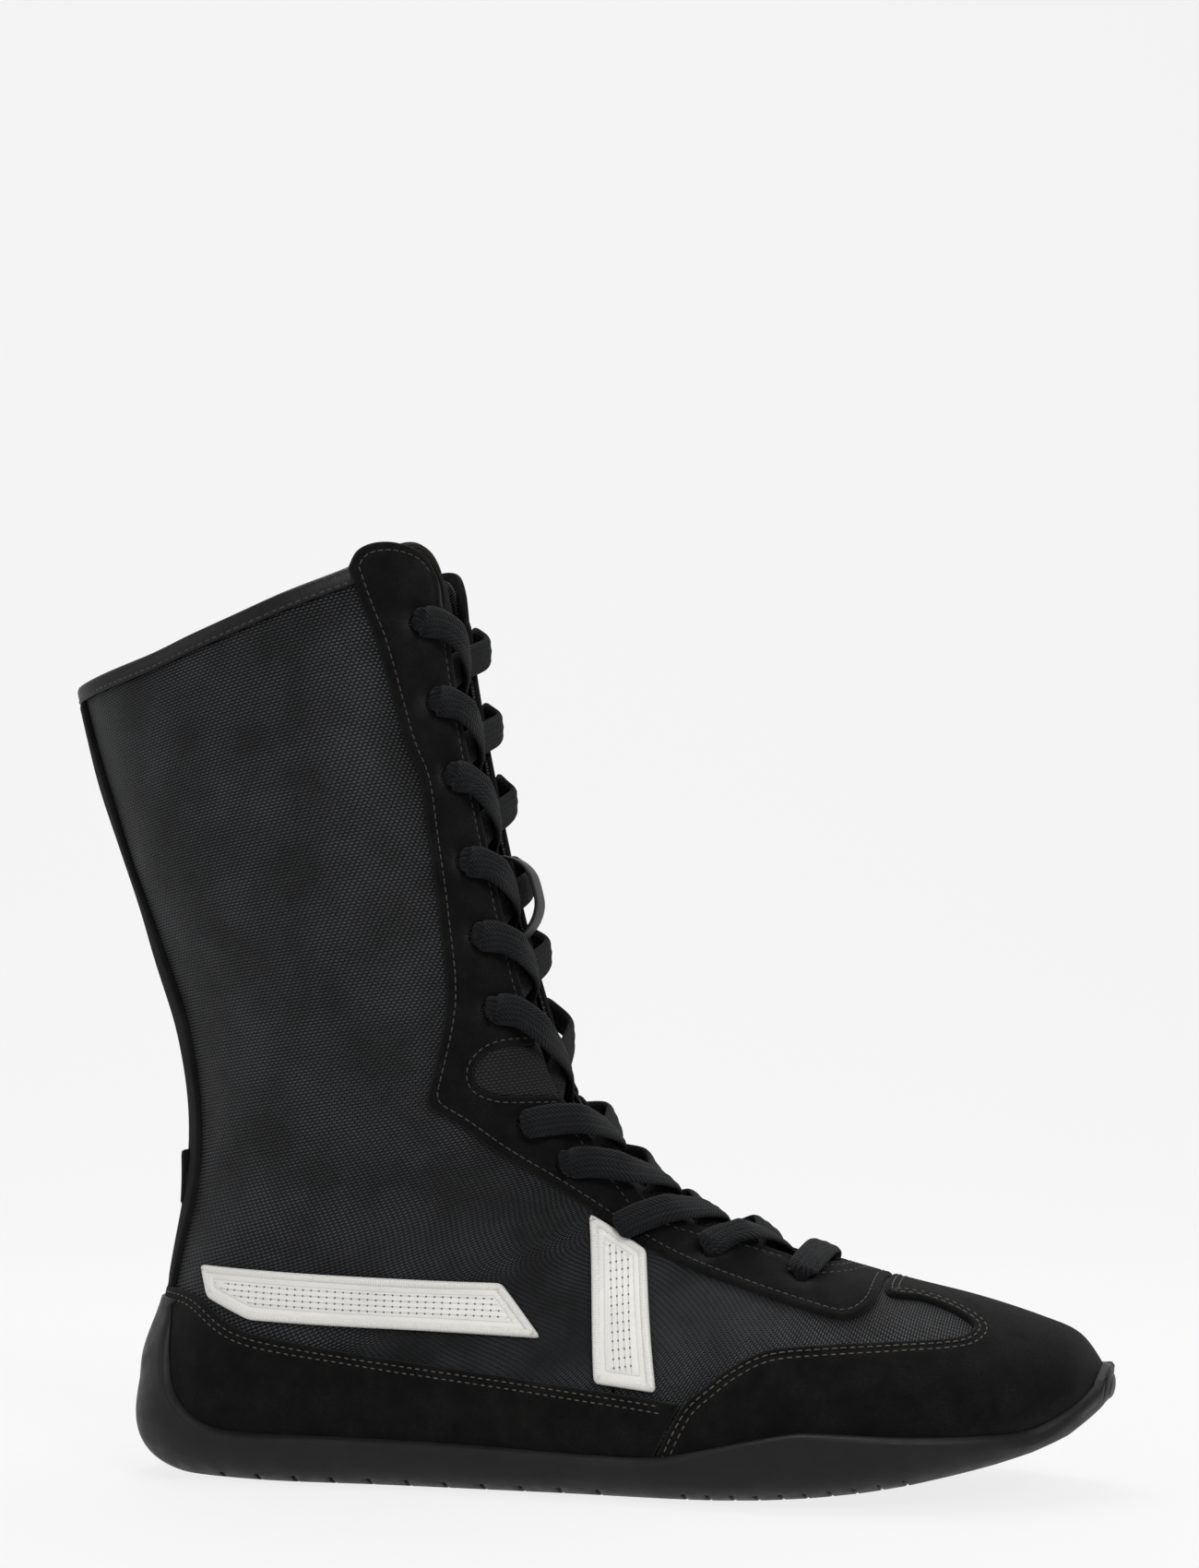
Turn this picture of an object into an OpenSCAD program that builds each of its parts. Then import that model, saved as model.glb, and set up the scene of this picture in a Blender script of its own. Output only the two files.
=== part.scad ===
// Boxing boot, right foot, with a laced shaft.
// Millimetres. +X runs to the toe, +Y to the inner (medial) side, +Z up.
// The origin is on the ground under the middle of the outsole's length.
// The upper is one tube, cut across into stations from the collar to the toe.
// Every ply is the tube's surface set in or out by its own distance.

/* [Size] */
// Length of the outsole from heel to toe
boot_length = 281; // [235:1:345]
// Height of the eyestay's top above the ground
boot_height = 262; // [215:1:330]
// Width of the outsole across the ball of the foot
ball_width = 98; // [80:1:120]
// Height of the ankle, where the shaft flexes
ankle_height = 113; // [100:1:125]

/* [Upper] */
// Thickness of the woven shell
fabric_t = 1.0; // [0.6:0.1:1.6]
// Thickness of the heel counter, toe puff, facings and shaft foam
stiffener_t = 0.9; // [0.5:0.1:1.6]
// Thickness of the lining
lining_t = 1.2; // [0.8:0.1:1.8]
// Thickness of the suede, leather and side panels laid on the shell
overlay_t = 1.4; // [0.8:0.1:2.0]
// Thickness of the heel tab
heel_tab_t = 1.8; // [1.0:0.1:2.6]
// Thickness of the mesh in the flex notch
mesh_t = 0.9; // [0.5:0.1:1.2]
// Thickness of the collar's and the tongue's folded binding
binding_t = 1.0; // [0.6:0.1:1.6]
// Depth of the collar binding on the shaft
collar_depth = 5; // [3:0.5:9]
// Width of the backstay round the heel's back
backstay_w = 30; // [20:1:36]
// Width of the heel tab
heel_tab_w = 20; // [12:1:28]

/* [Throat and lacing] */
// Width of the throat between the two eyestays
throat_w = 24; // [16:1:28]
// Diameter of the punched eyelets
eyelet_d = 4.6; // [4:0.1:6]
// Width of the flat lace
lace_w = 9; // [6:0.5:10]
// Thickness of the flat lace
lace_t = 1.3; // [0.9:0.1:1.8]
// Thickness of the tongue
tongue_t = 3; // [2:0.25:5]
// Width of the tongue
tongue_w = 46; // [40:1:50]
// Width of the lace keeper's strap
keeper_w = 10; // [6:1:14]
// Length of each aglet
aglet_len = 20; // [14:1:26]
// Diameter of each aglet
aglet_d = 2.6; // [2:0.1:3]

/* [Sole] */
// Thickness of the rubber wall round the foot
rubber_t = 2.8; // [2:0.1:4]
// Depth of the rubber under the foot, from the ground to the upper's lowest line
sole_depth = 5; // [4.5:0.1:7]
// Thickness of the foam midsole
midsole_t = 3; // [2:0.1:4]
// Thickness of the lasting board
board_t = 1.6; // [1:0.1:2.4]
// Thickness of the removable sockliner
sockliner_t = 3; // [2:0.25:5]
// Depth of the tread's grooves
tread_depth = 1.8; // [0.8:0.1:2.2]
// Width of one tread groove
tread_w = 1.2; // [0.8:0.1:2]

/* [Clearances] */
// Gap between two plies laid on each other
ply_gap = 0.1; // [0.05:0.05:0.3]
// Gap between two panels butted edge to edge
seam_gap = 0.3; // [0.2:0.05:0.6]
// Gap on each side of the lace where it runs inside the boot
lace_gap = 0.4; // [0.2:0.1:1]
// Gap under the lace where it lies on the eyestay
lace_lift = 1.1; // [0.8:0.1:1.6]
// Gap at the ankle between the two halves of the lining
flex_gap = 0.7; // [0.4:0.1:1.2]

/* [Hidden] */

// The drawing's own sizes, from which the driving sizes scale everything
drawn_length = 281;
drawn_height = 262;
drawn_width = 98;
drawn_ankle = 113;

LATERAL = -1;
MEDIAL = 1;
far = 200;        // beyond the boot in every direction

// Distances from the shell's outer face, outward positive
fabric_in = -fabric_t;
stiffener_out = fabric_in - ply_gap;
stiffener_in = stiffener_out - stiffener_t;
lining_out = stiffener_in - ply_gap;
lining_in = lining_out - lining_t;
overlay_in = ply_gap;
overlay_out = overlay_in + overlay_t;
tab_in = overlay_out + ply_gap;
tab_out = tab_in + heel_tab_t;
rubber_in = overlay_out + ply_gap;
rubber_out = rubber_in + rubber_t;
lace_under = lining_in - lace_gap - lace_t / 2;
edge_lift = 0.8;   // keeps the lace clear of the throat's edges
hole_lift = 0.9;   // and of the eyelets' rims
lace_over = overlay_out + lace_lift + lace_t / 2;
tail_under = lining_in - lace_gap - max(lace_t, aglet_d) / 2;
tongue_out = lace_under - edge_lift - lace_t / 2 - 2 * lace_gap;
tongue_in = tongue_out - tongue_t;

// Heights above the upper's lowest line, from the midsole up to the sockliner
midsole_low = -rubber_in + ply_gap;
midsole_high = midsole_low + midsole_t;
board_low = midsole_high + ply_gap;
board_high = board_low + board_t;
wall_low = board_high + 2 * ply_gap;
sockliner_low = max(wall_low, -lining_in + ply_gap) + ply_gap;
sockliner_high = sockliner_low + sockliner_t;

// ---- scaling of the drawing -------------------------------------------------

function sx(x) = x * boot_length / drawn_length;
function sy(y) = y * ball_width / drawn_width;
function sz(z) = z < drawn_ankle ? z * ankle_height / drawn_ankle
    : ankle_height + (z - drawn_ankle)
        * (boot_height - ankle_height) / (drawn_height - drawn_ankle);
function scaled(points) = [for (p = points) [sx(p[0]), sz(p[1])]];

// ---- the upper's surface ----------------------------------------------------

// Stations from above the collar to the toe: [front x, front z, back x, back z,
// lateral half width, medial half width, centre y, widest place, back squareness]
STATIONS = [
    [-45.5, 276, -161, 240, 41.5, 41.5, 0, .46, 1.9],
    [-43.5, 252, -156, 221, 41, 41, 0, .46, 1.9],
    [-40, 226, -151.5, 201, 39.5, 39.5, 0, .46, 1.9],
    [-34.5, 198, -144, 179, 37.5, 37.5, 0, .46, 1.9],
    [-27.5, 168, -135, 153, 35.5, 35.5, 0, .47, 1.9],
    [-19.5, 139, -126.5, 125, 33.5, 33.5, 0, .48, 1.9],
    [-9, 112, -123.5, 92, 32, 32, 0, .51, 1.9],
    [7, 93, -128.5, 56, 32, 32, 0, .58, 2.1],
    [16, 86, -133, 30, 33, 33, 0, .66, 2.4],
    [22, 82, -128, 10, 33.5, 33.5, 0, .76, 2.9],
    [28, 78.5, -98, 5, 34, 34, 0, .81, 3.4],
    [35, 74.5, -56, 5, 35.5, 34.5, 0, .82, 3.5],
    [46, 69.5, -8, 5, 40, 36, 0, .81, 3.5],
    [62, 63, 36, 5, 45, 41, 0, .79, 3.5],
    [83, 57, 74, 8, 45.5, 43.5, 1, .77, 3.5],
    [103, 52, 100, 13, 40.5, 41.5, 3, .75, 3.3],
    [120, 46.5, 118, 18, 31, 33, 5.5, .72, 3.0],
    [130, 42, 129, 22.5, 21.5, 23.5, 7, .66, 2.6],
    [136, 34, 135, 27, 9, 10, 8, .5, 2.0]];
last_station = len(STATIONS) - 1;
toe_bulge = 1;    // how far the toe's end stands beyond the last station

function blend4(a, b, c, d, f) = 0.5 * (2 * b + (c - a) * f
    + (2 * a - 5 * b + 4 * c - d) * f * f + (3 * b - a - 3 * c + d) * f * f * f);

function station(u) = let (
        i = max(0, min(floor(u), last_station - 1)),
        a = STATIONS[max(i - 1, 0)],
        d = STATIONS[min(i + 2, last_station)])
    blend4(a, STATIONS[i], STATIONS[i + 1], d, u - i);

// q runs round the tube: 0 on the front ridge, -1 and 1 at the back or bottom
function wrapped(q) = q > 1 ? q - 2 : q < -1 ? q + 2 : q;
function on_drawing(u, q0) = let (
        q = wrapped(q0),
        s = station(u),
        t = (1 - cos(180 * q)) / 2,
        wide = s[7],
        r = t < wide ? (wide - t) / wide : (t - wide) / (1 - wide),
        k = t < wide ? 2 : s[8],
        half = (q < 0 ? s[4] : s[5]) * pow(max(0, 1 - pow(min(r, 1), k)), 1 / k))
    [s[0] + (s[2] - s[0]) * t, s[6] + sign(q) * half, s[1] + (s[3] - s[1]) * t];
function point_on(u, q) = let (p = on_drawing(u, q)) [sx(p[0]), sy(p[1]), sz(p[2])];

function unit(v) = v / max(norm(v), 1e-9);
normal_step = 0.02;
function normal(u, q) = unit(cross(
    point_on(min(u + normal_step, last_station), q)
        - point_on(max(u - normal_step, 0), q),
    point_on(u, q + normal_step) - point_on(u, q - normal_step)));
function at(u, q, h) = point_on(u, q) + h * normal(u, q);

// The q at which station u reaches the distance y from the boot's mid-plane
function q_at(u, y) = let (
        s = station(u),
        half = sy(y < 0 ? s[4] : s[5]),
        r = sqrt(1 - pow(min(1, abs(y - sy(s[6])) / half), 2)))
    sign(y) * acos(1 - 2 * s[7] * (1 - r)) / 180;

// ---- the tube as a grid of facets ---------------------------------------------

ROWS = concat([for (k = [0:4]) k], [for (k = [5:0.5:9.5]) k], [for (k = [10:15]) k],
    [for (k = [15.5:0.5:last_station]) k]);
COLUMNS = 24;
rows = len(ROWS);
BASE = [for (u = ROWS) [for (j = [0:COLUMNS - 1]) point_on(u, -1 + 2 * j / COLUMNS)]];
toe_middle = (point_on(last_station, 0) + point_on(last_station, 1)) / 2;
toe_axis = unit([1, 0.1, -0.5]);
NORMALS = [for (i = [0:rows - 1]) [for (j = [0:COLUMNS - 1]) let (
    n = normal(ROWS[i], -1 + 2 * j / COLUMNS)) i < rows - 1 ? n : unit(n + toe_axis)]];

function skin(hs) = concat(
    [for (i = [0:rows - 1]) for (j = [0:COLUMNS - 1]) BASE[i][j] + hs[j] * NORMALS[i][j]],
    [toe_middle + (toe_bulge + hs[COLUMNS / 2]) * toe_axis]);
function even(h) = [for (j = [0:COLUMNS - 1]) h];
skin_points = rows * COLUMNS + 1;
function next(j) = (j + 1) % COLUMNS;
SKIN_FACES = concat(
    [for (i = [0:rows - 2]) for (j = [0:COLUMNS - 1])
        [i * COLUMNS + j, i * COLUMNS + next(j), (i + 1) * COLUMNS + next(j)]],
    [for (i = [0:rows - 2]) for (j = [0:COLUMNS - 1])
        [i * COLUMNS + j, (i + 1) * COLUMNS + next(j), (i + 1) * COLUMNS + j]],
    [for (j = [0:COLUMNS - 1])
        [(rows - 1) * COLUMNS + j, (rows - 1) * COLUMNS + next(j), rows * COLUMNS]]);

// Everything inside the distance hs[j] from the shell's outer face
module inside(hs)
    polyhedron(
        concat(skin(hs), [(BASE[0][0] + BASE[0][COLUMNS / 2]) / 2]),
        concat(SKIN_FACES, [for (j = [0:COLUMNS - 1]) [next(j), j, skin_points]]));

// One ply, between two distances from the shell's outer face
module ply(h_in, h_out)
    polyhedron(
        concat(skin(even(h_out)), skin(even(h_in))),
        concat(SKIN_FACES,
            [for (f = SKIN_FACES) [f[2] + skin_points, f[1] + skin_points, f[0] + skin_points]],
            [for (j = [0:COLUMNS - 1]) [next(j), j, j + skin_points]],
            [for (j = [0:COLUMNS - 1]) [next(j), j + skin_points, next(j) + skin_points]]));

// Keeps a cut ply as one mesh
module meshed() resize([0, 0, 0]) children();

// ---- outlines in side view ----------------------------------------------------

function curve(p, n = 4) = concat([for (i = [0:len(p) - 2]) for (k = [0:n - 1])
    blend4(p[max(i - 1, 0)], p[i], p[i + 1], p[min(i + 2, len(p) - 1)], k / n)],
    [p[len(p) - 1]]);
function shifted(points, dz) = [for (p = points) [p[0], p[1] + dz]];
function backwards(points) = [for (i = [len(points) - 1:-1:0]) points[i]];

// Upper edge of the collar and, inside the eyestay's rounded top, of the shell
COLLAR = scaled(curve([[-190, 226.5], [-160, 226.5], [-146, 227.5], [-125, 231.5], [-111, 236],
    [-97, 241], [-84, 246.5], [-66, 254.5], [-62, 259.5], [-55, 261], [-49.5, 256],
    [-47, 246], [-30, 240]], 1));
collar_front = sx(-66);      // where the eyestay takes over from the collar's binding
// The upper's lowest line, with the toe spring
SOLE_LINE = scaled([[-190, 5], [38, 5], [50, 5.3], [63, 6.3], [76, 8], [89, 10.3], [101, 13],
    [111, 15.4], [120, 18], [129, 22], [135, 26.5], [150, 38]]);
// Outer edge of the eyestay, from its top down the shaft and on to the ridge in front
EYESTAY_BACK = curve([[-66, 254.5], [-62.5, 243.5], [-58.5, 232], [-52, 207], [-48, 196],
    [-45.5, 180], [-42, 156], [-40, 133], [-44.5, 108]], 2);
EYESTAY_FRONT = curve([[-44, 105], [-35, 99.5], [-24, 91.5], [-7, 81], [14, 67.5], [33, 59.5],
    [65, 50], [73, 49.2], [78, 52.5], [79, 58], [79, 70]], 2);
EYESTAY_TOP = [[-46, 248], [-47, 256], [-50, 260.5], [-55, 262], [-60, 261.5], [-64, 259]];
EYESTAY = scaled(concat(EYESTAY_BACK, EYESTAY_FRONT,
    [[40, 95], [15, 115], [-5, 150], [-30, 220], [-38, 250]], EYESTAY_TOP));
// Notch in the eyestay that lets the ankle flex, and the mesh in it
NOTCH = scaled(concat([[0, 123]], curve([[-12, 122], [-26, 121.5], [-32, 117], [-32, 111.5],
    [-26.5, 108.5], [-17, 108], [0, 107.5]], 2)));
// Rear wing, tip and strip of the toe cap
TOE_CAP = scaled(concat([[21, -10]], curve([[21.5, 8], [23, 13], [29.5, 25.5], [36, 31.5],
    [42.5, 36.5], [52, 41], [66, 42.5], [85, 43.3], [99, 43.8], [103.5, 45], [104, 47],
    [98, 50.3], [90, 53], [81, 54.5]], 2), [[79.6, 58], [79.6, 80], [170, 80], [170, -10]]));
// Upper edge of the heel foxing, from the back to the toe cap
FOXING_EDGE = curve([[-190, 53], [-135, 53], [-115, 52], [-100, 43.8], [-83, 40], [-50, 35.4],
    [-6, 30.4], [18, 28], [45, 25]], 2);
// Upper edge of the rubber, from the heel's back to the toe
RUBBER_EDGE = scaled(curve([[-190, 50], [-126, 50], [-122, 47], [-120.5, 34], [-117, 24],
    [-108, 17], [-95, 15], [-73, 14.6], [-41, 14], [5, 12.8], [22.5, 13], [34.5, 15],
    [48, 18], [58, 20], [65.5, 20.6], [91, 20], [108, 20.5], [119, 21.7], [129, 26.5],
    [134, 31], [137, 36.5], [160, 38]], 1));
// White side panels: a band along the heel and a bar below the eyestay
BAND = scaled([[-112, 60], [-24, 56.5], [-12, 42.5], [-95, 46], [-109, 51.5]]);
BAR = scaled([[-1, 75.5], [15, 65.5], [22, 29.5], [5, 31.2]]);
// Where the vamp's fabric meets the quarters
vamp_seam = sx(10);
// Stiffeners and foam
COUNTER = scaled(curve([[-190, 66], [-122, 65], [-96, 52], [-76, 30], [-66, -10]], 3));
counter_front = sx(-60);
puff_start = sx(97);
foam_front = sx(-50);
// The heel tab and the backstay lie on the boot's back only
back_front = sx(-90);
tab_low = sz(76);
tab_high = sz(92);
// The backstay's lower end
backstay_low = sz(53);

// The ankle: the shaft's flex axis and the wedge left open in the lining
ankle_x = sx(-75);
open_front = 17;  // degrees
open_back = 12;
function wedge_z(side, x) = ankle_height + side * (flex_gap / 2
    + (x > ankle_x ? (x - ankle_x) * tan(open_front / 2) : (ankle_x - x) * tan(open_back / 2)));
FLEX_EDGE = [for (side = [-1, 1]) [for (x = [-far, ankle_x, far]) [x, wedge_z(side, x)]]];

module prism(points, grow = 0)
    translate([0, far, 0]) rotate([90, 0, 0]) linear_extrude(2 * far)
        offset(delta = grow) polygon(points);
module below(line) prism(concat(line, [[far, line[len(line) - 1][1]], [far, -far], [-far, -far],
    [-far, line[0][1]]]));
module above(line) prism(concat(line, [[far, line[len(line) - 1][1]], [far, 2 * far],
    [-far, 2 * far], [-far, line[0][1]]]));
module side(which, gap = seam_gap / 2)
    translate([-far, which > 0 ? gap : -gap - far, -far]) cube([2 * far, far, 3 * far]);
module middle(width) translate([-far, -width / 2, -far]) cube([2 * far, width, 3 * far]);
module behind(x) translate([x - 2 * far, -far, -far]) cube([2 * far, 2 * far, 3 * far]);
module ahead(x) translate([x, -far, -far]) cube([2 * far, 2 * far, 3 * far]);
module walls() above(shifted(SOLE_LINE, wall_low));
module under_collar() below(shifted(COLLAR, -binding_t - ply_gap));

// The throat, seen from above, cut down through the front of the boot
throat_start = sx(-70);
throat_end = sx(66);
throat_floor = sz(45);
module throat(width = throat_w)
    translate([0, 0, throat_floor]) linear_extrude(2 * far) hull() {
        translate([throat_end - width / 2, 0]) circle(d = width, $fn = 20);
        translate([throat_start, -width / 2]) square([1, width]);
    }

// ---- eyelets and lace -----------------------------------------------------------

// Eyelets from the top down: [station, distance from the mid-plane]
EYELETS = [[1.4, 22], [2.25, 20.5], [3, 19.5], [3.8, 20], [4.5, 20.5], [5.2, 21], [6.4, 21],
    [7, 19], [9.5, 18], [11.5, 18], [12.9, 19.5]];
eyelets = len(EYELETS);
function eyelet_y(n) = sy(EYELETS[n][1]);
function eyelet_q(n, which) = q_at(EYELETS[n][0], which * eyelet_y(n));
punch_past = 1;   // beyond the plies on either side
module eyelet_cuts(which)
    for (n = [0:eyelets - 1]) {
        q = eyelet_q(n, which);
        p = point_on(EYELETS[n][0], q);
        d = normal(EYELETS[n][0], q);
        translate(p) rotate([0, acos(d[2]), atan2(d[1], d[0])]) translate([0, 0, lining_in - punch_past])
            cylinder(d = eyelet_d, h = overlay_out - lining_in + 2 * punch_past, $fn = 6);
    }

// One place on the lace: [point, flat side's direction, width]
narrow_w = eyelet_d - 0.8;         // in the eyelet
under_w = lace_w * 0.7;            // beside it, inside the boot
folded_w = lace_w * 0.8;           // and outside, and along the tail
by_eyelet = 0.1;                   // share of the run
by_edge = 0.25;
ridge_y = 0.4;                     // the crossing's distance from the mid-plane
function lace_place(u, y, h, flip, width) = let (q = q_at(u, y))
    [at(u, q, h), flip * normal(u, q), width];
function lace_hole(n, which, h, flip) = let (
        u = EYELETS[n][0],
        q = eyelet_q(n, which),
        outward = unit(point_on(u, q + which * normal_step) - point_on(u, q)))
    [at(u, q, h), flip * outward, narrow_w];
edge_y = throat_w / 2;
function lace_in_hole(n, which, flip) = [
    lace_hole(n, which, lace_over + hole_lift, flip),
    lace_hole(n, which, lace_under - hole_lift, flip)];
// The run from eyelet n, under one eyestay, across the throat, to eyelet n - 1 opposite
function lace_run(n, which, flip, mid_h) = let (
        u0 = EYELETS[n][0],
        u1 = EYELETS[n - 1][0],
        y0 = (edge_y + eyelet_y(n)) / 2,
        y1 = (edge_y + eyelet_y(n - 1)) / 2)
    concat([
        lace_place(u0 - by_eyelet * (u0 - u1), which * y0, lace_under - edge_lift, flip, under_w),
        lace_place(u0 - by_edge * (u0 - u1), which * edge_y, lace_under - edge_lift, flip, lace_w),
        lace_place((u0 + u1) / 2, which * ridge_y, mid_h, flip, lace_w),
        lace_place(u1 + by_edge * (u0 - u1), -which * edge_y, lace_over + 3 * edge_lift, flip,
            lace_w),
        lace_place(u1 + by_eyelet * (u0 - u1), -which * y1, lace_over, flip, folded_w)],
        lace_in_hole(n - 1, -which, flip));
// Tail behind the eyestay: [station, distance from the mid-plane]
TAIL = [[1.5, 27], [1.75, 31], [2.1, 34], [2.7, 34], [3.2, 33]];
function lace_tail(which) = [for (p = TAIL)
    lace_place(p[0], which * sy(p[1]), tail_under, -1, folded_w)];
mid_low = lace_under + lace_t + 2 * lace_gap;
mid_high = mid_low + lace_t + 2 * lace_gap;
function lace_half(which) = concat(
    [lace_place(EYELETS[eyelets - 1][0], which * edge_y, lace_over, 1, lace_w)],
    lace_in_hole(eyelets - 1, which, 1),
    [for (n = [eyelets - 1:-1:1]) let (
            turn = (eyelets - 1 - n) % 2 == 0 ? 1 : -1,
            high = turn * which > 0)
        each lace_run(n, which * turn, -turn, high ? mid_high : mid_low)],
    lace_tail(which));
LACE = concat(backwards(lace_half(LATERAL)),
    [lace_place(EYELETS[eyelets - 1][0], 0.01, lace_over, 1, lace_w)], lace_half(MEDIAL));
places = len(LACE);
function along(i) = unit(LACE[min(i + 1, places - 1)][0] - LACE[max(i - 1, 0)][0]);
function lace_ring(i) = let (
        p = LACE[i][0],
        across = unit(cross(along(i), LACE[i][1])),
        up = unit(cross(across, along(i))),
        w = LACE[i][2] / 2,
        t = lace_t / 2)
    [p - w * across + t * up, p + w * across + t * up, p + w * across - t * up,
        p - w * across - t * up];
sides = 4;

// ---- sub-parts ------------------------------------------------------------------

// Rubber grows thicker under the foot so that the ground face is wide and flat
bottom_extra = 3;
bottom_start = 0.74;   // as q round the tube
bottom_full = 0.9;
function rubber_offset(q) = rubber_out
    + bottom_extra * max(0, min(1, (abs(q) - bottom_start) / (bottom_full - bottom_start)));
module outsole() color("#26272a") meshed() difference() {
    intersection() {
        inside([for (j = [0:COLUMNS - 1]) rubber_offset(-1 + 2 * j / COLUMNS)]);
        below(RUBBER_EDGE);
        above(shifted(SOLE_LINE, -sole_depth));
    }
    inside(even(rubber_in));
    tread();
}
// Rear edges of the grooves, wide apart under the heel and the waist, close under the ball
GROOVES = concat([for (x = [-104.6:11:15.4]) x], [for (x = [29.4:6.5:91.4]) x]);
function sole_z(x) = lookup(x, SOLE_LINE) - sole_depth;
module tread() for (x = GROOVES)
    translate([sx(x), -far / 2, sole_z(sx(x) + tread_w / 2) - tread_depth])
        cube([tread_w, far, 2 * tread_depth]);

module sole_layer(h, low, high) meshed() intersection() {
    inside(even(h));
    above(shifted(SOLE_LINE, low));
    below(shifted(SOLE_LINE, high));
}
module midsole() color("#3b3d40") sole_layer(rubber_in - ply_gap, midsole_low, midsole_high);
module insole_board() color("#8a7a5c") sole_layer(fabric_in - ply_gap, board_low, board_high);
module sockliner() color("#1c1d1f")
    sole_layer(lining_in - ply_gap, sockliner_low, sockliner_high);

module heel_counter() color("#b9b4a8") meshed() intersection() {
    ply(stiffener_in, stiffener_out);
    below(COUNTER);
    walls();
    behind(counter_front);
}
module toe_puff() color("#b9b4a8") meshed() intersection() {
    ply(stiffener_in, stiffener_out);
    ahead(puff_start);
    walls();
}
module foot_lining() color("#2b2b2d") meshed() difference() {
    intersection() {
        ply(lining_in, lining_out);
        walls();
        below(FLEX_EDGE[0]);
    }
    throat();
    for (which = [LATERAL, MEDIAL]) eyelet_cuts(which);
}
module shaft_lining() color("#2b2b2d") meshed() difference() {
    intersection() {
        ply(lining_in, lining_out);
        under_collar();
        above(FLEX_EDGE[1]);
    }
    throat();
    for (which = [LATERAL, MEDIAL]) eyelet_cuts(which);
}
module shaft_foam() color("#d8d2bd") meshed() difference() {
    intersection() {
        ply(stiffener_in, stiffener_out);
        below(shifted(COLLAR, -collar_depth));
        above(FLEX_EDGE[1]);
        behind(foam_front);
    }
    prism(EYESTAY);
}

module vamp() color("#1f2123") meshed() difference() {
    intersection() {
        ply(fabric_in, 0);
        ahead(vamp_seam + seam_gap / 2);
        walls();
    }
    throat();
    for (which = [LATERAL, MEDIAL]) eyelet_cuts(which);
}
module quarter(which) color("#1f2123") meshed() difference() {
    intersection() {
        ply(fabric_in, 0);
        side(which);
        behind(vamp_seam - seam_gap / 2);
        walls();
        under_collar();
    }
    throat();
    eyelet_cuts(which);
}

module toe_cap() color("#17171a") meshed() intersection() {
    ply(overlay_in, overlay_out);
    prism(TOE_CAP);
    walls();
}
module foxing(which) color("#17171a") meshed() difference() {
    intersection() {
        ply(overlay_in, overlay_out);
        side(which);
        walls();
        below(scaled(FOXING_EDGE));
    }
    prism(TOE_CAP, seam_gap);
}
module backstay() color("#141416") meshed() intersection() {
    ply(overlay_in, overlay_out);
    middle(sy(backstay_w));
    behind(back_front);
    translate([-far, -far, backstay_low + seam_gap]) cube(2 * far);
    below(shifted(COLLAR, -collar_depth - seam_gap));
}
module heel_tab() color("#101012") meshed() intersection() {
    ply(tab_in, tab_out);
    middle(sy(heel_tab_w));
    behind(back_front);
    translate([-far, -far, tab_low]) cube([2 * far, 2 * far, tab_high - tab_low]);
}

module eyestay(which) color("#141416") meshed() difference() {
    intersection() {
        ply(overlay_in, overlay_out);
        side(which);
        prism(EYESTAY);
    }
    throat();
    prism(NOTCH);
    eyelet_cuts(which);
}
facing_inset = 4;
module facing(which) color("#c9c4b6") meshed() difference() {
    intersection() {
        ply(stiffener_in, stiffener_out);
        side(which);
        under_collar();
        prism(EYESTAY, -facing_inset);
    }
    throat();
    eyelet_cuts(which);
}
module flex_mesh(which) color("#35373a") meshed() difference() {
    intersection() {
        ply(overlay_in, overlay_in + mesh_t);
        side(which);
        prism(NOTCH, -seam_gap);
    }
    throat();
}

module collar_binding() color("#0f0f11") meshed() difference() {
    intersection() {
        ply(lining_in - ply_gap - binding_t, ply_gap + binding_t);
        below(COLLAR);
        above(shifted(COLLAR, -collar_depth));
    }
    intersection() {
        ply(lining_in - ply_gap, ply_gap);
        below(shifted(COLLAR, -binding_t));
    }
    prism(EYESTAY, seam_gap);
    throat(throat_w + 2 * collar_depth);
    ahead(collar_front + seam_gap);
}

module side_panel(which, outline) meshed() intersection() {
    ply(overlay_in, overlay_out);
    side(which);
    prism(outline);
}
module side_band(which) color("#ececea") side_panel(which, BAND);
module side_bar(which) color("#ececea") meshed() difference() {
    side_panel(which, BAR);
    prism(EYESTAY, seam_gap);
}

// The tongue: the front of the tube, with a domed top that leans to the lateral side
TONGUE_TOP = curve([[-40, 244], [-26, 254], [-22, 261], [-15, 264.5], [-6, 263.5], [5, 259],
    [16, 252], [26, 244], [40, 235]], 2);
function front_scaled(points, dz) = [for (p = points) [sy(p[0]), sz(p[1] + dz)]];
module front_below(dz) rotate([90, 0, 90]) translate([0, 0, -far]) linear_extrude(2 * far)
    polygon(concat(front_scaled(TONGUE_TOP, dz), [[far, sz(200)], [far, -far], [-far, -far],
        [-far, sz(200)]]));
TONGUE_ZONE = scaled([[-90, 290], [-70, 190], [-50, 120], [-28, 80], [10, 50], [60, 40],
    [60, 80], [20, 120], [0, 290]]);
module tongue_blank(h_in, h_out) intersection() {
    ply(h_in, h_out);
    middle(sy(tongue_w));
    prism(TONGUE_ZONE);
}
tongue_edge = 4;
module tongue() color("#232427") meshed() intersection() {
    tongue_blank(tongue_in, tongue_out);
    front_below(-binding_t - ply_gap);
}
module tongue_binding() color("#2c2824") meshed() difference() {
    intersection() {
        tongue_blank(tongue_in - ply_gap - binding_t, tongue_out + ply_gap + binding_t / 2);
        front_below(0);
    }
    intersection() {
        ply(tongue_in - ply_gap, tongue_out + ply_gap);
        front_below(-binding_t);
    }
    front_below(-tongue_edge);
}

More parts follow.
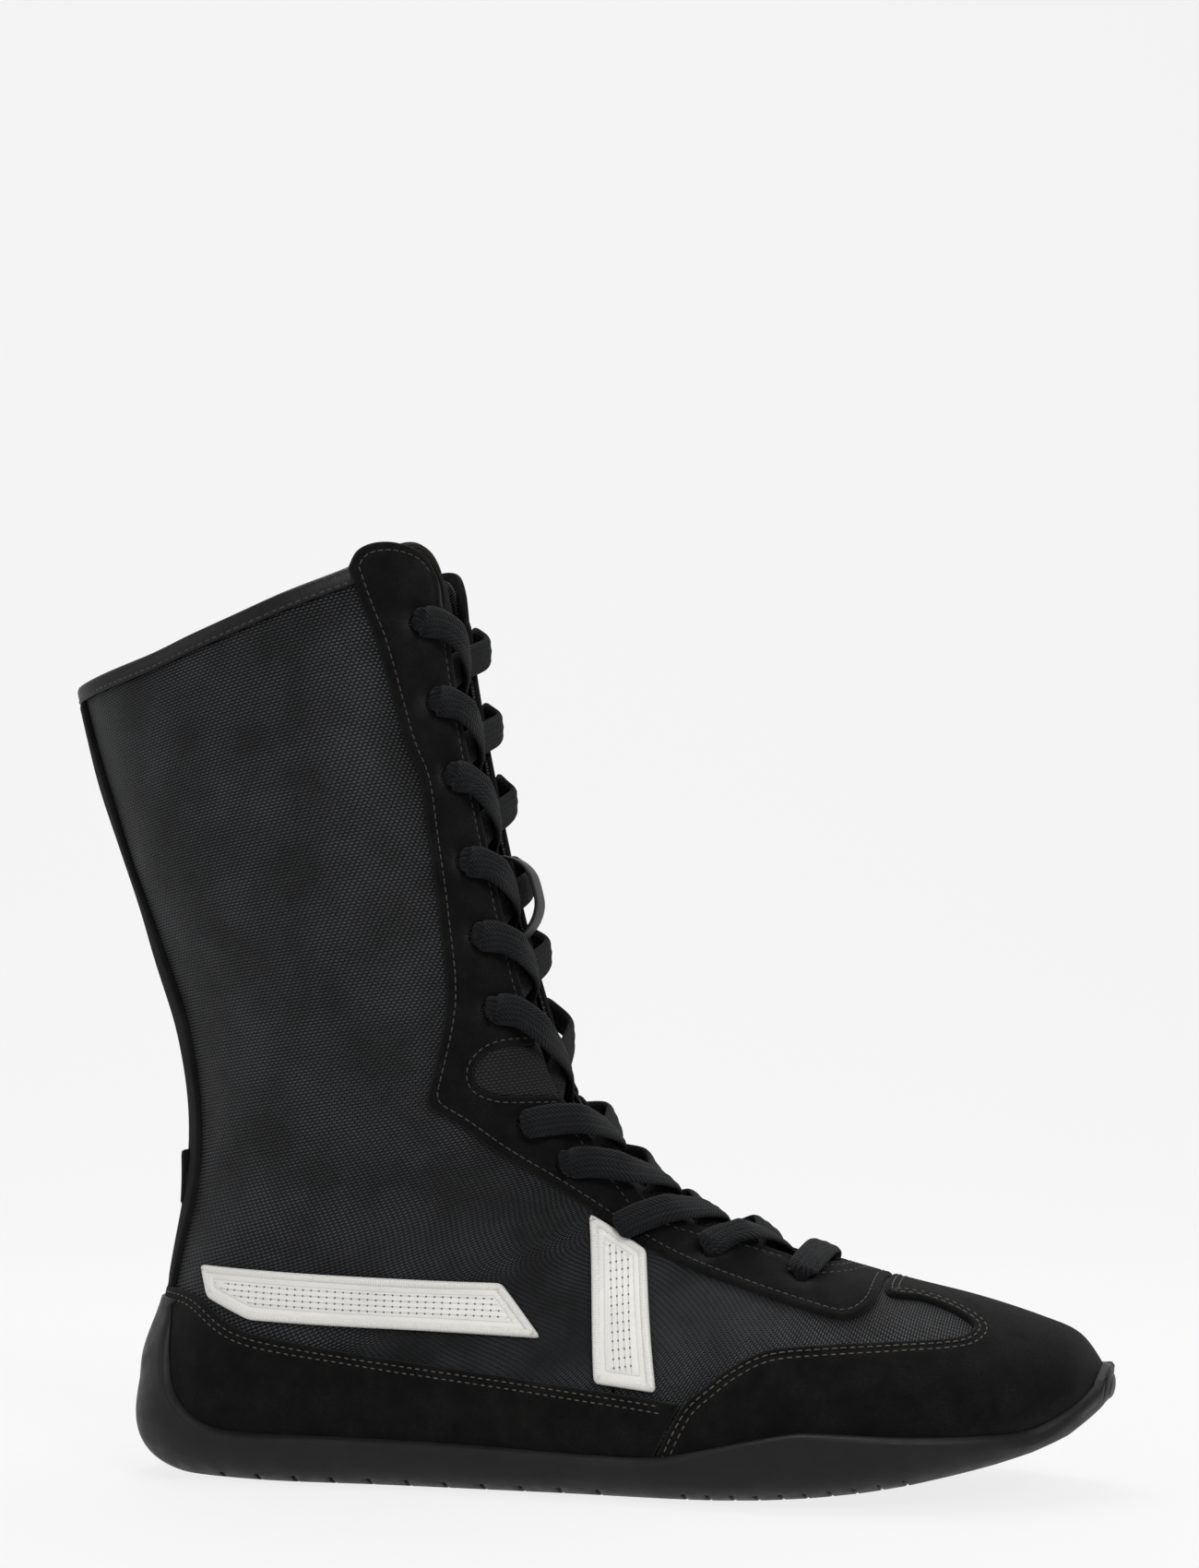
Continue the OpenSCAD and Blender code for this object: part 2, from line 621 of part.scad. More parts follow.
// Strap on the tongue that the lace runs under: [station, share of the rise]
keeper_t = 1;
keeper_rise = 5.5;
KEEPER = [[3.7, 0], [3.73, 0.4], [3.8, 0.75], [3.93, 0.96], [4.1, 1], [4.26, 0.96],
    [4.4, 0.75], [4.5, 0.4], [4.54, 0]];
keeper_foot = tongue_out + ply_gap;
function keeper_line(extra) = [for (k = KEEPER) let (
    p = at(k[0], 0, keeper_foot + (keeper_rise - keeper_foot) * k[1] + extra))
    [p[0], p[2]]];
module lace_keeper() color("#1a1a1c")
    translate([0, keeper_w / 2, 0]) rotate([90, 0, 0]) linear_extrude(keeper_w)
        polygon(concat(keeper_line(0), backwards(keeper_line(keeper_t))));

module lace() color("#101113") polyhedron(
    [for (i = [0:places - 1]) each lace_ring(i)],
    concat(
        [[for (k = [0:sides - 1]) k]],
        [for (i = [0:places - 2]) for (k = [0:sides - 1])
            [i * sides + k, (i + 1) * sides + k, (i + 1) * sides + (k + 1) % sides]],
        [for (i = [0:places - 2]) for (k = [0:sides - 1])
            [i * sides + k, (i + 1) * sides + (k + 1) % sides, i * sides + (k + 1) % sides]],
        [[for (k = [sides - 1:-1:0]) (places - 1) * sides + k]]));

module aglet(end, before) {
    d = unit(end - before);
    translate(end + ply_gap * d) rotate([0, acos(d[2]), atan2(d[1], d[0])])
        cylinder(d = aglet_d, h = aglet_len, $fn = 16);
}
module aglets() color("#0c0c0d") {
    aglet(LACE[0][0], LACE[1][0]);
    aglet(LACE[places - 1][0], LACE[places - 2][0]);
}

outsole();
midsole();
insole_board();
sockliner();
heel_counter();
toe_puff();
foot_lining();
shaft_lining();
shaft_foam();
vamp();
quarter(LATERAL);  // quarter_lateral
quarter(MEDIAL);  // quarter_medial
toe_cap();
foxing(LATERAL);  // foxing_lateral
foxing(MEDIAL);  // foxing_medial
backstay();
heel_tab();
eyestay(LATERAL);  // eyestay_lateral
eyestay(MEDIAL);  // eyestay_medial
facing(LATERAL);  // facing_lateral
facing(MEDIAL);  // facing_medial
flex_mesh(LATERAL);  // flex_mesh_lateral
flex_mesh(MEDIAL);  // flex_mesh_medial
collar_binding();
side_band(LATERAL);  // side_band_lateral
side_band(MEDIAL);  // side_band_medial
side_bar(LATERAL);  // side_bar_lateral
side_bar(MEDIAL);  // side_bar_medial
tongue();
tongue_binding();
lace_keeper();
lace();
aglets();
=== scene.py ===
"""Looks of the boxing boot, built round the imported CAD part.

Sizes are millimetres until a mesh is made, then metres. +X runs to the toe, +Y to the inner
side, +Z up. The upper is one tube: u runs along it from the collar (0) to the toe (19), q runs
round it, 0 on the front ridge and -1 or 1 at the back and the bottom, negative on the outer side.
Every ply is the tube's surface set in or out by its own distance.
"""

import math

import bmesh
import bpy
import numpy as np
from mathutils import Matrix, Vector, kdtree
from mathutils.geometry import delaunay_2d_cdt


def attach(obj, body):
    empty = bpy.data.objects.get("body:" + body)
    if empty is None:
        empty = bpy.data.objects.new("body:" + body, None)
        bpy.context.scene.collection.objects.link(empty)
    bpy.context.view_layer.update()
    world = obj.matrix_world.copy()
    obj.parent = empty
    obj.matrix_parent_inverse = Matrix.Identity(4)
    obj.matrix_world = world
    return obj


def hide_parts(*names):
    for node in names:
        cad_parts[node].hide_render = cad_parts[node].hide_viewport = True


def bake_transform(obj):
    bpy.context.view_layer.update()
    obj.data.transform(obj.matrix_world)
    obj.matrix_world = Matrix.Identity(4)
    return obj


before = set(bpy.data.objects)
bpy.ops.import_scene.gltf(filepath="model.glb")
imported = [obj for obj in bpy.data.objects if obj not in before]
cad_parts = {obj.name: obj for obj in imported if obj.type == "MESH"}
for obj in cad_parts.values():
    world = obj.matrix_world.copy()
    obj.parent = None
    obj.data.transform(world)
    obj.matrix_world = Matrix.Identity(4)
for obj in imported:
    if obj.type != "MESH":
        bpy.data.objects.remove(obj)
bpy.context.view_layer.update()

MM = 0.001
LATERAL, MEDIAL = -1, 1

# ---- camera

AZIMUTH = math.radians(13)
DISTANCE = 0.8
VIEW_HEIGHT = 0.442      # height of the view at the boot
EYE_HEIGHT = 0.118
LOOK_X = 0.0054
SIDE_STEP = 0.0078


def make_camera():
    data = bpy.data.cameras.new("camera")
    data.sensor_width = 36
    data.lens = data.sensor_width * DISTANCE / VIEW_HEIGHT
    data.shift_y = 0.1765
    data.clip_start, data.clip_end = 0.05, 20
    camera = bpy.data.objects.new("camera", data)
    across = Vector((math.cos(AZIMUTH), math.sin(AZIMUTH), 0))
    away = Vector((math.sin(AZIMUTH), -math.cos(AZIMUTH), 0))
    camera.location = Vector((LOOK_X, 0, EYE_HEIGHT)) + DISTANCE * away - SIDE_STEP * across
    camera.rotation_euler = (math.pi / 2, 0, AZIMUTH)
    bpy.context.collection.objects.link(camera)
    bpy.context.scene.camera = camera
    bpy.context.scene.view_settings.view_transform = "Standard"


# ---- the tube

# front x, front z, back x, back z, outer half, inner half, centre y, widest place, squareness
STATIONS = np.array([
    (-45.5, 276, -161, 240, 41.5, 41.5, 0, .46, 1.9),
    (-43.5, 252, -156, 221, 41, 41, 0, .46, 1.9),
    (-40, 226, -151.5, 201, 39.5, 39.5, 0, .46, 1.9),
    (-34.5, 198, -144, 179, 37.5, 37.5, 0, .46, 1.9),
    (-27.5, 168, -135, 153, 35.5, 35.5, 0, .47, 1.9),
    (-19.5, 139, -126.5, 125, 33.5, 33.5, 0, .48, 1.9),
    (-9, 112, -123.5, 92, 32, 32, 0, .51, 1.9),
    (7, 93, -128.5, 56, 32, 32, 0, .58, 2.1),
    (16, 86, -133, 30, 33, 33, 0, .66, 2.4),
    (22, 82, -128, 10, 33.5, 33.5, 0, .76, 2.9),
    (28, 78.5, -98, 5, 34, 34, 0, .81, 3.4),
    (35, 74.5, -56, 5, 35.5, 34.5, 0, .82, 3.5),
    (46, 69.5, -8, 5, 40, 36, 0, .81, 3.5),
    (62, 63, 36, 5, 45, 41, 0, .79, 3.5),
    (83, 57, 74, 8, 45.5, 43.5, 1, .77, 3.5),
    (103, 52, 100, 13, 40.5, 41.5, 3, .75, 3.3),
    (120, 46.5, 118, 18, 31, 33, 5.5, .72, 3.0),
    (130, 42, 129, 22.5, 21.5, 23.5, 7, .66, 2.6),
    (136, 34, 135, 27, 9, 10, 8, .5, 2.0)])
LAST = len(STATIONS) - 1
TIP = LAST + 1
TOE_BULGE = 1.2
TOE_AXIS = np.array([1, 0.1, -0.5]) / math.sqrt(1.26)
TOE_MIDDLE = np.array([135.5, 8, 30.5])
U_STEP, Q_STEP = 0.02, 0.01      # for slopes of the surface


def blend4(a, b, c, d, f):
    return 0.5 * (2 * b + (c - a) * f + (2 * a - 5 * b + 4 * c - d) * f ** 2
                  + (3 * b - a - 3 * c + d) * f ** 3)


def station(u):
    i = np.clip(np.floor(u).astype(int), 0, LAST - 1)
    rows = [STATIONS[np.clip(i + k, 0, LAST)] for k in (-1, 0, 1, 2)]
    return blend4(*rows, (u - i)[..., None])


def wrapped(q):
    return np.where(q > 1, q - 2, np.where(q < -1, q + 2, q))


def dome_angle(u):
    """How far round the toe's rounded end, past the last station."""
    return np.clip(u - LAST, 0, 1)[..., None] * np.pi / 2


def on_tube(u, q):
    """The point on the shell's outer face."""
    u, q = np.broadcast_arrays(np.asarray(u, float), np.asarray(q, float))
    q = wrapped(q)
    front_x, front_z, back_x, back_z, outer, inner, centre, wide, square = np.moveaxis(
        station(np.clip(u, 0, LAST)), -1, 0)
    t = (1 - np.cos(np.pi * q)) / 2
    r = np.where(t < wide, (wide - t) / wide, (t - wide) / (1 - wide))
    k = np.where(t < wide, 2.0, square)
    half = np.where(q < 0, outer, inner) * np.clip(1 - np.clip(r, 0, 1) ** k, 0, 1) ** (1 / k)
    points = np.stack([front_x + (back_x - front_x) * t, centre + np.sign(q) * half,
                       front_z + (back_z - front_z) * t], -1)
    dome = dome_angle(u)
    return TOE_MIDDLE + (points - TOE_MIDDLE) * np.cos(dome) + TOE_BULGE * np.sin(dome) * TOE_AXIS


def unit(v):
    """The vectors, each made one long."""
    return v / np.maximum(np.linalg.norm(v, axis=-1, keepdims=True), 1e-9)


def normal(u, q):
    u, q = np.broadcast_arrays(np.asarray(u, float), np.asarray(q, float))
    low, high = np.clip(u - U_STEP, 0, LAST), np.clip(u + U_STEP, 2 * U_STEP, LAST)
    n = unit(np.cross(on_tube(high, q) - on_tube(low, q),
                      on_tube(low, q + Q_STEP) - on_tube(low, q - Q_STEP)))
    dome = dome_angle(u)
    return unit(n * np.cos(dome) + TOE_AXIS * np.sin(dome))


# Soft folds in the upper: [u, q, height, length along u, length along q, slant]
FOLDS = [
    (5.7, -0.60, 0.9, 0.30, 0.16, 0.9), (6.3, -0.75, -0.9, 0.30, 0.14, 0.5),
    (5.0, -0.72, -0.8, 0.35, 0.15, -0.7), (4.2, -0.45, 0.7, 0.5, 0.12, 1.2),
    (3.4, -0.70, 0.8, 0.6, 0.13, -0.9), (2.3, -0.50, -0.8, 0.5, 0.16, 0.8),
    (1.5, -0.68, 0.7, 0.5, 0.12, -0.6), (6.9, -0.52, -0.6, 0.3, 0.15, 0.8),
    (5.7, 0.62, 0.9, 0.30, 0.16, 0.8), (6.3, 0.72, -0.9, 0.30, 0.14, 0.4),
    (5.0, 0.70, -0.8, 0.35, 0.15, -0.7), (4.1, 0.48, 0.7, 0.5, 0.12, 1.1),
    (3.2, 0.68, 0.8, 0.6, 0.13, -0.8), (2.2, 0.52, -0.8, 0.5, 0.16, 0.8)]


def folds(u, q):
    """How far the cloth stands off its smooth shape: two slow waves, and the folds."""
    q = wrapped(q)
    h = 0.25 * np.sin(2.1 * u + 5 * np.pi * q + 1.0) + 0.2 * np.sin(3.3 * u - 4 * np.pi * q)
    for u0, q0, height, long, wide, slant in FOLDS:
        along = (u - u0) + slant * (q - q0)
        h = h + height * np.exp(-(along / long) ** 2 - ((q - q0) / wide) ** 2)
    fade = np.clip((8.2 - u) / 2, 0, 1) * (0.25 + 0.75 * np.clip(u / 1.5, 0, 1))
    side = np.clip((np.abs(q) - 0.22) / 0.15, 0.15, 1)
    return h * (0.12 + 0.88 * fade) * side


def at(u, q, h):
    """The point at distance h outside the shell's outer face."""
    h = np.asarray(h, float) + folds(u, q)
    return on_tube(u, q) + h[..., None] * normal(u, q)


# Distance round the tube from the back, and along it, for cloth patterns
GRID_U = np.linspace(0, TIP, 191)
GRID_Q = np.linspace(0, 1, 81)


def length_tables():
    tables = []
    for which in (LATERAL, MEDIAL):
        p = on_tube(GRID_U[:, None], which * GRID_Q[None, :])
        steps = np.linalg.norm(np.diff(p, axis=1), axis=2)
        tables.append(np.concatenate([np.zeros((len(GRID_U), 1)), np.cumsum(steps, 1)], 1))
    p = on_tube(GRID_U, np.full_like(GRID_U, -0.5))
    along = np.concatenate([[0], np.cumsum(np.linalg.norm(np.diff(p, axis=0), axis=1))])
    return tables, along


ROUND, ALONG = length_tables()


def cloth_place(u, q):
    """Millimetres round the tube from the back seam, and along it."""
    q = wrapped(q)
    i = np.clip(u / TIP * (len(GRID_U) - 1), 0, len(GRID_U) - 1.001)
    j = np.clip(np.abs(q) * (len(GRID_Q) - 1), 0, len(GRID_Q) - 1.001)
    a, b = i.astype(int), j.astype(int)
    f, g = i - a, j - b
    out = np.zeros_like(u)
    for table, mask in zip(ROUND, (q < 0, q >= 0)):
        v = ((table[a, b] * (1 - g) + table[a, b + 1] * g) * (1 - f)
             + (table[a + 1, b] * (1 - g) + table[a + 1, b + 1] * g) * f)
        v = table[a, -1] * (1 - f) + table[a + 1, -1] * f - v
        out = np.where(mask, v * np.where(q < 0, -1, 1), out)
    return np.stack([out, np.interp(u, GRID_U, ALONG)], -1)


# ---- places on the tube

FINE_U = np.linspace(0, LAST, 1801)
FINE = station(FINE_U)


def curve(points, n=6):
    p = np.asarray(points, float)
    out = []
    for i in range(len(p) - 1):
        a, d = p[max(i - 1, 0)], p[min(i + 2, len(p) - 1)]
        out += [blend4(a, p[i], p[i + 1], d, k / n) for k in range(n)]
    return np.array(out + [p[-1]])


def from_side(points, which):
    """(u, q) of points seen from the side as (x, z)."""
    front, back = FINE[:, 0:2], FINE[:, 2:4]
    span = back - front
    size = (span ** 2).sum(1)
    out = []
    for x, z in np.asarray(points, float):
        off = np.array([x, z]) - front
        cross = span[:, 0] * off[:, 1] - span[:, 1] * off[:, 0]
        t = (off * span).sum(1) / size
        hits = np.nonzero(cross[:-1] * cross[1:] <= 0)[0]
        if len(hits) == 0:
            hits = [int(np.argmin(np.abs(cross[:-1]) / np.sqrt(size[:-1])))]
        k = min(hits, key=lambda h: max(0, -t[h], t[h] - 1))
        f = np.clip(cross[k] / (cross[k] - cross[k + 1] + 1e-12), 0, 1)
        along = np.clip(t[k] + (t[k + 1] - t[k]) * f, 0, 1)
        u = FINE_U[k] + (FINE_U[k + 1] - FINE_U[k]) * f
        out.append((u, which * math.acos(1 - 2 * along) / math.pi))
    return np.array(out)


def q_at(u, y):
    """The q at which station u reaches the distance y from the mid-plane."""
    u = np.asarray(u, float)
    y = np.broadcast_to(np.asarray(y, float), u.shape)
    s = station(np.clip(u, 0, LAST))
    half = np.where(y < 0, s[..., 4], s[..., 5])
    r = np.sqrt(np.clip(1 - (np.abs(y - s[..., 6]) / half) ** 2, 0, 1))
    return np.sign(y) * np.arccos(1 - 2 * s[..., 7] * (1 - r)) / np.pi


def from_front(points, axis, low, high):
    """(u, q) of points given as (y, value of the axis), between two stations."""
    us = np.linspace(low, high, 400)
    out = []
    for y, v in points:
        q = q_at(us, y)
        values = on_tube(us, q)[:, axis]
        order = np.argsort(values)
        u = np.interp(v, values[order], us[order])
        out.append((u, float(q_at(np.array(u), y))))
    return np.array(out)


def back_u(z):
    """The station whose back is at height z."""
    upper = FINE_U < 9.05
    return float(np.interp(-z, -FINE[upper, 3], FINE_U[upper]))


def spaced(line, step, closed=False):
    """The line with a point at least every step millimetres."""
    line = np.asarray(line, float)
    if closed:
        line = np.vstack([line, line[:1]])
    p = at(*line.T, 0)
    out = []
    for a, b, size in zip(line[:-1], line[1:], np.linalg.norm(np.diff(p, axis=0), axis=1)):
        n = max(1, int(math.ceil(size / step)))
        out += [a + (b - a) * k / n for k in range(n)]
    return np.array(out if closed else out + [line[-1]])


def even(line, step, closed=False):
    """The line resampled to points step millimetres apart."""
    line = spaced(line, min(step, 0.8), closed)
    if closed:
        line = np.vstack([line, line[:1]])
    p = at(*line.T, 0)
    s = np.concatenate([[0], np.cumsum(np.linalg.norm(np.diff(p, axis=0), axis=1))])
    n = max(2, int(round(s[-1] / step)))
    marks = np.linspace(0, s[-1], n + 1)[:n if closed else n + 1]
    return np.stack([np.interp(marks, s, line[:, 0]), np.interp(marks, s, line[:, 1])], -1)


def moved(line, distance, closed=False):
    """The line moved to its left over the surface, seen from outside."""
    u, q = line.T
    p = on_tube(u, q)
    if closed:
        tangent = np.roll(p, -1, 0) - np.roll(p, 1, 0)
    else:
        tangent = np.gradient(p, axis=0)
    side = unit(np.cross(normal(u, q), unit(tangent)))
    du = (on_tube(np.clip(u + 0.01, 0, TIP), q) - on_tube(np.clip(u - 0.01, 0, TIP), q)) / 0.02
    dq = (on_tube(u, q + 0.004) - on_tube(u, q - 0.004)) / 0.008
    a, b, c = (du * du).sum(1), (du * dq).sum(1), (dq * dq).sum(1)
    e, f = (du * side).sum(1), (dq * side).sum(1)
    det = np.maximum(a * c - b * b, 1e-9)
    step = np.stack([(c * e - b * f) / det, (a * f - b * e) / det], -1)
    return line + np.asarray(distance)[..., None] * step


def turned_left(outline):
    """The closed outline, ordered so that its inside is on the left, seen from outside."""
    u, q = outline.T
    area = (u * np.roll(q, -1) - q * np.roll(u, -1)).sum()
    return outline if area > 0 else outline[::-1]


def contains(polygon, points):
    """Which points are inside the closed polygon."""
    x, y = points.T
    inside = np.zeros(len(points), bool)
    for a, b in zip(polygon, np.roll(polygon, -1, 0)):
        crosses = (a[1] > y) != (b[1] > y)
        with np.errstate(divide="ignore", invalid="ignore"):
            edge = (b[0] - a[0]) * (y - a[1]) / (b[1] - a[1]) + a[0]
        inside ^= crosses & (x < edge)
    return inside


# ---- meshes

def make_object(name, points, faces, material, attributes=None, smooth=True):
    mesh = bpy.data.meshes.new(name)
    mesh.from_pydata([tuple(p) for p in np.asarray(points) * MM], [], [tuple(f) for f in faces])
    for key, values in (attributes or {}).items():
        values = np.asarray(values, float)
        if values.ndim == 1:
            layer = mesh.attributes.new(key, "FLOAT", "POINT")
            layer.data.foreach_set("value", values)
        else:
            layer = mesh.attributes.new(key, "FLOAT_VECTOR", "POINT")
            filled = np.zeros((len(values), 3))
            filled[:, :values.shape[1]] = values
            layer.data.foreach_set("vector", filled.ravel())
    work = bmesh.new()
    work.from_mesh(mesh)
    bmesh.ops.recalc_face_normals(work, faces=work.faces)
    work.to_mesh(mesh)
    work.free()
    mesh.polygons.foreach_set("use_smooth", [smooth] * len(mesh.polygons))
    mesh.materials.append(material)
    thing = bpy.data.objects.new(name, mesh)
    bpy.context.collection.objects.link(thing)
    return thing


def swept_faces(n, size, closed=False):
    """Faces of a tube made of n rings of size points, its ends capped unless it is closed."""
    faces = []
    for i in range(n if closed else n - 1):
        a, b = i * size, (i + 1) % n * size
        faces += [(a + k, a + (k + 1) % size, b + (k + 1) % size, b + k) for k in range(size)]
    if not closed:
        faces += [tuple(range(size)), tuple((n - 1) * size + k for k in range(size))]
    return faces


def slab_faces(n, m):
    """Faces of a slab: an outer grid of n by m points, an inner one, and the rim between."""
    count, faces = n * m, []
    for i in range(n - 1):
        for j in range(m - 1):
            a, b, c, d = i * m + j, i * m + j + 1, (i + 1) * m + j + 1, (i + 1) * m + j
            faces += [(a, b, c, d), (a + count, d + count, c + count, b + count)]
    rim = [i * m for i in range(n)] + [(n - 1) * m + j for j in range(1, m)]
    rim += [i * m + m - 1 for i in range(n - 2, -1, -1)] + list(range(m - 2, 0, -1))
    return faces + [(a, b, b + count, a + count) for a, b in zip(rim, rim[1:] + rim[:1])]


SCALE = np.array([22.0, 120.0])   # rough millimetres for one unit of u and of q
EDGE_STEP = 1.2      # between points along a panel's edge
EDGE_DROP = 0.75     # share of a ply's thickness that its rolled edge falls


def distance_to(lines, points):
    """Distance from each point to the nearest of the closed outlines."""
    starts = np.vstack(lines)
    ends = np.vstack([np.roll(line, -1, 0) for line in lines])
    tree = kdtree.KDTree(len(starts))
    for i, p in enumerate((starts + ends) / 2):
        tree.insert(p, i)
    tree.balance()
    out = np.empty(len(points))
    for i, p in enumerate(points):
        near = [hit[1] for hit in tree.find_n(p, 3)]
        a, d = starts[near], ends[near] - starts[near]
        t = np.clip(((p - a) * d).sum(1) / np.maximum((d * d).sum(1), 1e-12), 0, 1)
        out[i] = np.sqrt((((a + d * t[:, None]) - p) ** 2).sum(1)).min()
    return out


def panel(name, outline, h_in, h_out, material, holes=(), grid=2.0, roll=0.7, shape=None, inner=(),
          axis=None):
    """A closed ply over the outline, with a rolled edge. shape(edge distance, u, q) adds height."""
    loops = [turned_left(spaced(outline, EDGE_STEP, closed=True))]
    loops += [turned_left(np.asarray(hole)) for hole in holes]
    drop = EDGE_DROP * (h_out - h_in)
    flat = [on_tube(*loop.T) for loop in loops]
    points, edges = [], []
    for loop in loops:
        base = len(points)
        points += list(loop)
        edges += [(base + i, base + (i + 1) % len(loop)) for i in range(len(loop))]
    # rings of points beside the edge, which carry its roll and the pressed lines
    depths = (0.15 * roll, 0.5 * roll, roll) + tuple(inner)
    extra = np.vstack([moved(loops[0], d, True) for d in depths])
    wanted = np.repeat(depths, len(loops[0]))
    keep = contains(loops[0], extra)
    extra, wanted = extra[keep], wanted[keep]
    rings = extra[distance_to(flat, on_tube(*extra.T)) > 0.9 * wanted]
    # and staggered rows inside
    low, high = loops[0].min(0), loops[0].max(0)
    us = np.arange(low[0], high[0], grid / SCALE[0])
    qs = np.arange(low[1], high[1], grid / SCALE[1])
    inside = np.stack(np.meshgrid(us, qs, indexing="ij"), -1).reshape(-1, 2)
    inside[:, 1] += (np.round((inside[:, 0] - low[0]) * SCALE[0] / grid) % 2) * grid / SCALE[1] / 2
    inside = inside[contains(loops[0], inside)]
    inside = inside[distance_to(flat, on_tube(*inside.T)) > max(inner or (roll,)) + 0.5 * grid]
    points = np.vstack([points, rings, inside])
    made = delaunay_2d_cdt([Vector(p) for p in points * SCALE], edges, [], 0, 1e-5)
    uq = np.array([tuple(v) for v in made[0]]) / SCALE
    faces = np.array(made[2])
    middle = uq[faces].mean(1)
    keep = contains(loops[0], middle)
    for hole in loops[1:]:
        keep &= ~contains(hole, middle)
    faces = faces[keep]
    used = np.unique(faces)
    index = np.full(len(uq), -1)
    index[used] = np.arange(len(used))
    faces, uq = index[faces], uq[used]
    count = len(uq)
    u, q = uq.T
    edge = distance_to(flat, on_tube(u, q))
    r = np.clip(1 - edge / roll, 0, 1)
    top = h_out - drop * (1 - np.sqrt(1 - r ** 2))
    if shape is not None:
        top = top + shape(edge, u, q)
    vertices = np.vstack([at(u, q, top), at(u, q, h_in)])
    seen = {(f[k - 1], f[k]): None for f in faces for k in range(3)}
    walls = [(a, b, b + count, a + count) for a, b in seen if (b, a) not in seen]
    all_faces = [tuple(f) for f in faces] + [tuple(f[::-1] + count) for f in faces]
    place = cloth_place(u, q) if axis is None else along_axis(axis, on_tube(u, q))
    return make_object(name, vertices, all_faces + walls, material, {
        "cloth": np.vstack([place, place]), "edge": np.concatenate([edge, edge])})


def along_axis(axis, points):
    """Millimetres along and across a line seen from the side."""
    start, end = np.array(axis, float)
    along = (end - start) / np.linalg.norm(end - start)
    off = points[:, [0, 2]] - start
    return np.stack([off @ along, off @ np.array([-along[1], along[0]])], -1)


def tube_grid(name, centre, up, half_w, half_t, material, sides=12, power=2.6, ribs=0.0):
    """A flat band swept along centre (n, 3), its thickness along up."""
    n = len(centre)
    tangent = unit(np.gradient(centre, axis=0))
    across = unit(np.cross(tangent, up))
    up = unit(np.cross(across, tangent))
    angle = np.arange(sides) * 2 * np.pi / sides
    c, s = np.cos(angle), np.sin(angle)
    a = np.sign(c) * np.abs(c) ** (2 / power)
    b = np.sign(s) * np.abs(s) ** (2 / power) * (1 + ribs * np.cos(3 * np.pi * a))
    half_w, half_t = np.broadcast_to(half_w, n), np.broadcast_to(half_t, n)
    p = (centre[:, None] + across[:, None] * (a[None, :, None] * half_w[:, None, None])
         + up[:, None] * (b[None, :, None] * half_t[:, None, None]))
    run = np.concatenate([[0], np.cumsum(np.linalg.norm(np.diff(centre, axis=0), axis=1))])
    cloth = np.stack([np.repeat(run, sides), (a[None] * half_w[:, None]).ravel()], -1)
    return make_object(name, p.reshape(-1, 3), swept_faces(n, sides), material, {"cloth": cloth})


# A stitch, and the gap to the next one
STITCH_LENGTH, STITCH_GAP, STITCH_RADIUS = 1.7, 0.6, 0.2
STITCH_SIDES, STITCH_RINGS = 6, 6


def stitches(name, lines, h, material):
    """Separate stitches along lines of (u, q), arched and thinner at their ends."""
    points, faces = [], []
    share = STITCH_LENGTH / (STITCH_LENGTH + STITCH_GAP)
    one = swept_faces(STITCH_RINGS, STITCH_SIDES)
    for line in lines:
        marks = even(line, (STITCH_LENGTH + STITCH_GAP) / 4)
        p = at(*marks.T, h)
        n = normal(*marks.T)
        for i in range(0, len(marks) - 4, 4):
            start, end, up = p[i], p[i] + (p[i + 4] - p[i]) * share, n[i + 2]
            along = unit(end - start)
            across = np.cross(up, along)
            faces += [tuple(len(points) + k for k in face) for face in one]
            for s in np.linspace(-1, 1, STITCH_RINGS):
                arch = STITCH_RADIUS * (0.55 - 0.95 * abs(s) ** 3)
                size = STITCH_RADIUS * (1 - 0.45 * abs(s) ** 4)
                middle = (start + end) / 2 + (end - start) / 2 * s + up * arch
                for k in range(STITCH_SIDES):
                    a = 2 * math.pi * k / STITCH_SIDES
                    points.append(middle + size * (math.cos(a) * across + math.sin(a) * up))
    return make_object(name, points, faces, material)


# ---- materials

class Wire:
    """A node's output that can be reckoned with. Every step adds one math node."""

    def __init__(self, tree, socket):
        self.tree, self.socket = tree, socket

    def math(self, op, *values, clamp=False):
        node = self.tree.nodes.new("ShaderNodeMath")
        node.operation, node.use_clamp = op, clamp
        for socket, value in zip(node.inputs, (self,) + values):
            plug(self.tree, socket, value)
        return Wire(self.tree, node.outputs[0])

    def __add__(self, other):
        return self.math("ADD", other)

    def __sub__(self, other):
        return self.math("SUBTRACT", other)

    def __rsub__(self, other):
        return (self * -1.0) + other

    def __mul__(self, other):
        return self.math("MULTIPLY", other)

    def __truediv__(self, other):
        return self.math("DIVIDE", other)

    def __pow__(self, other):
        return self.math("POWER", other)

    def __abs__(self):
        return self.math("ABSOLUTE")

    def ramp(self, low, high, a=0.0, b=1.0):
        """From a to b as the value goes from low to high."""
        node = self.tree.nodes.new("ShaderNodeMapRange")
        keys = ("Value", "From Min", "From Max", "To Min", "To Max")
        for key, value in zip(keys, (self, low, high, a, b)):
            plug(self.tree, node.inputs[key], value)
        return Wire(self.tree, node.outputs["Result"])


def plug(tree, socket, value):
    if isinstance(value, Wire):
        tree.links.new(value.socket, socket)
    else:
        socket.default_value = (*value, 1) if isinstance(value, tuple) else value


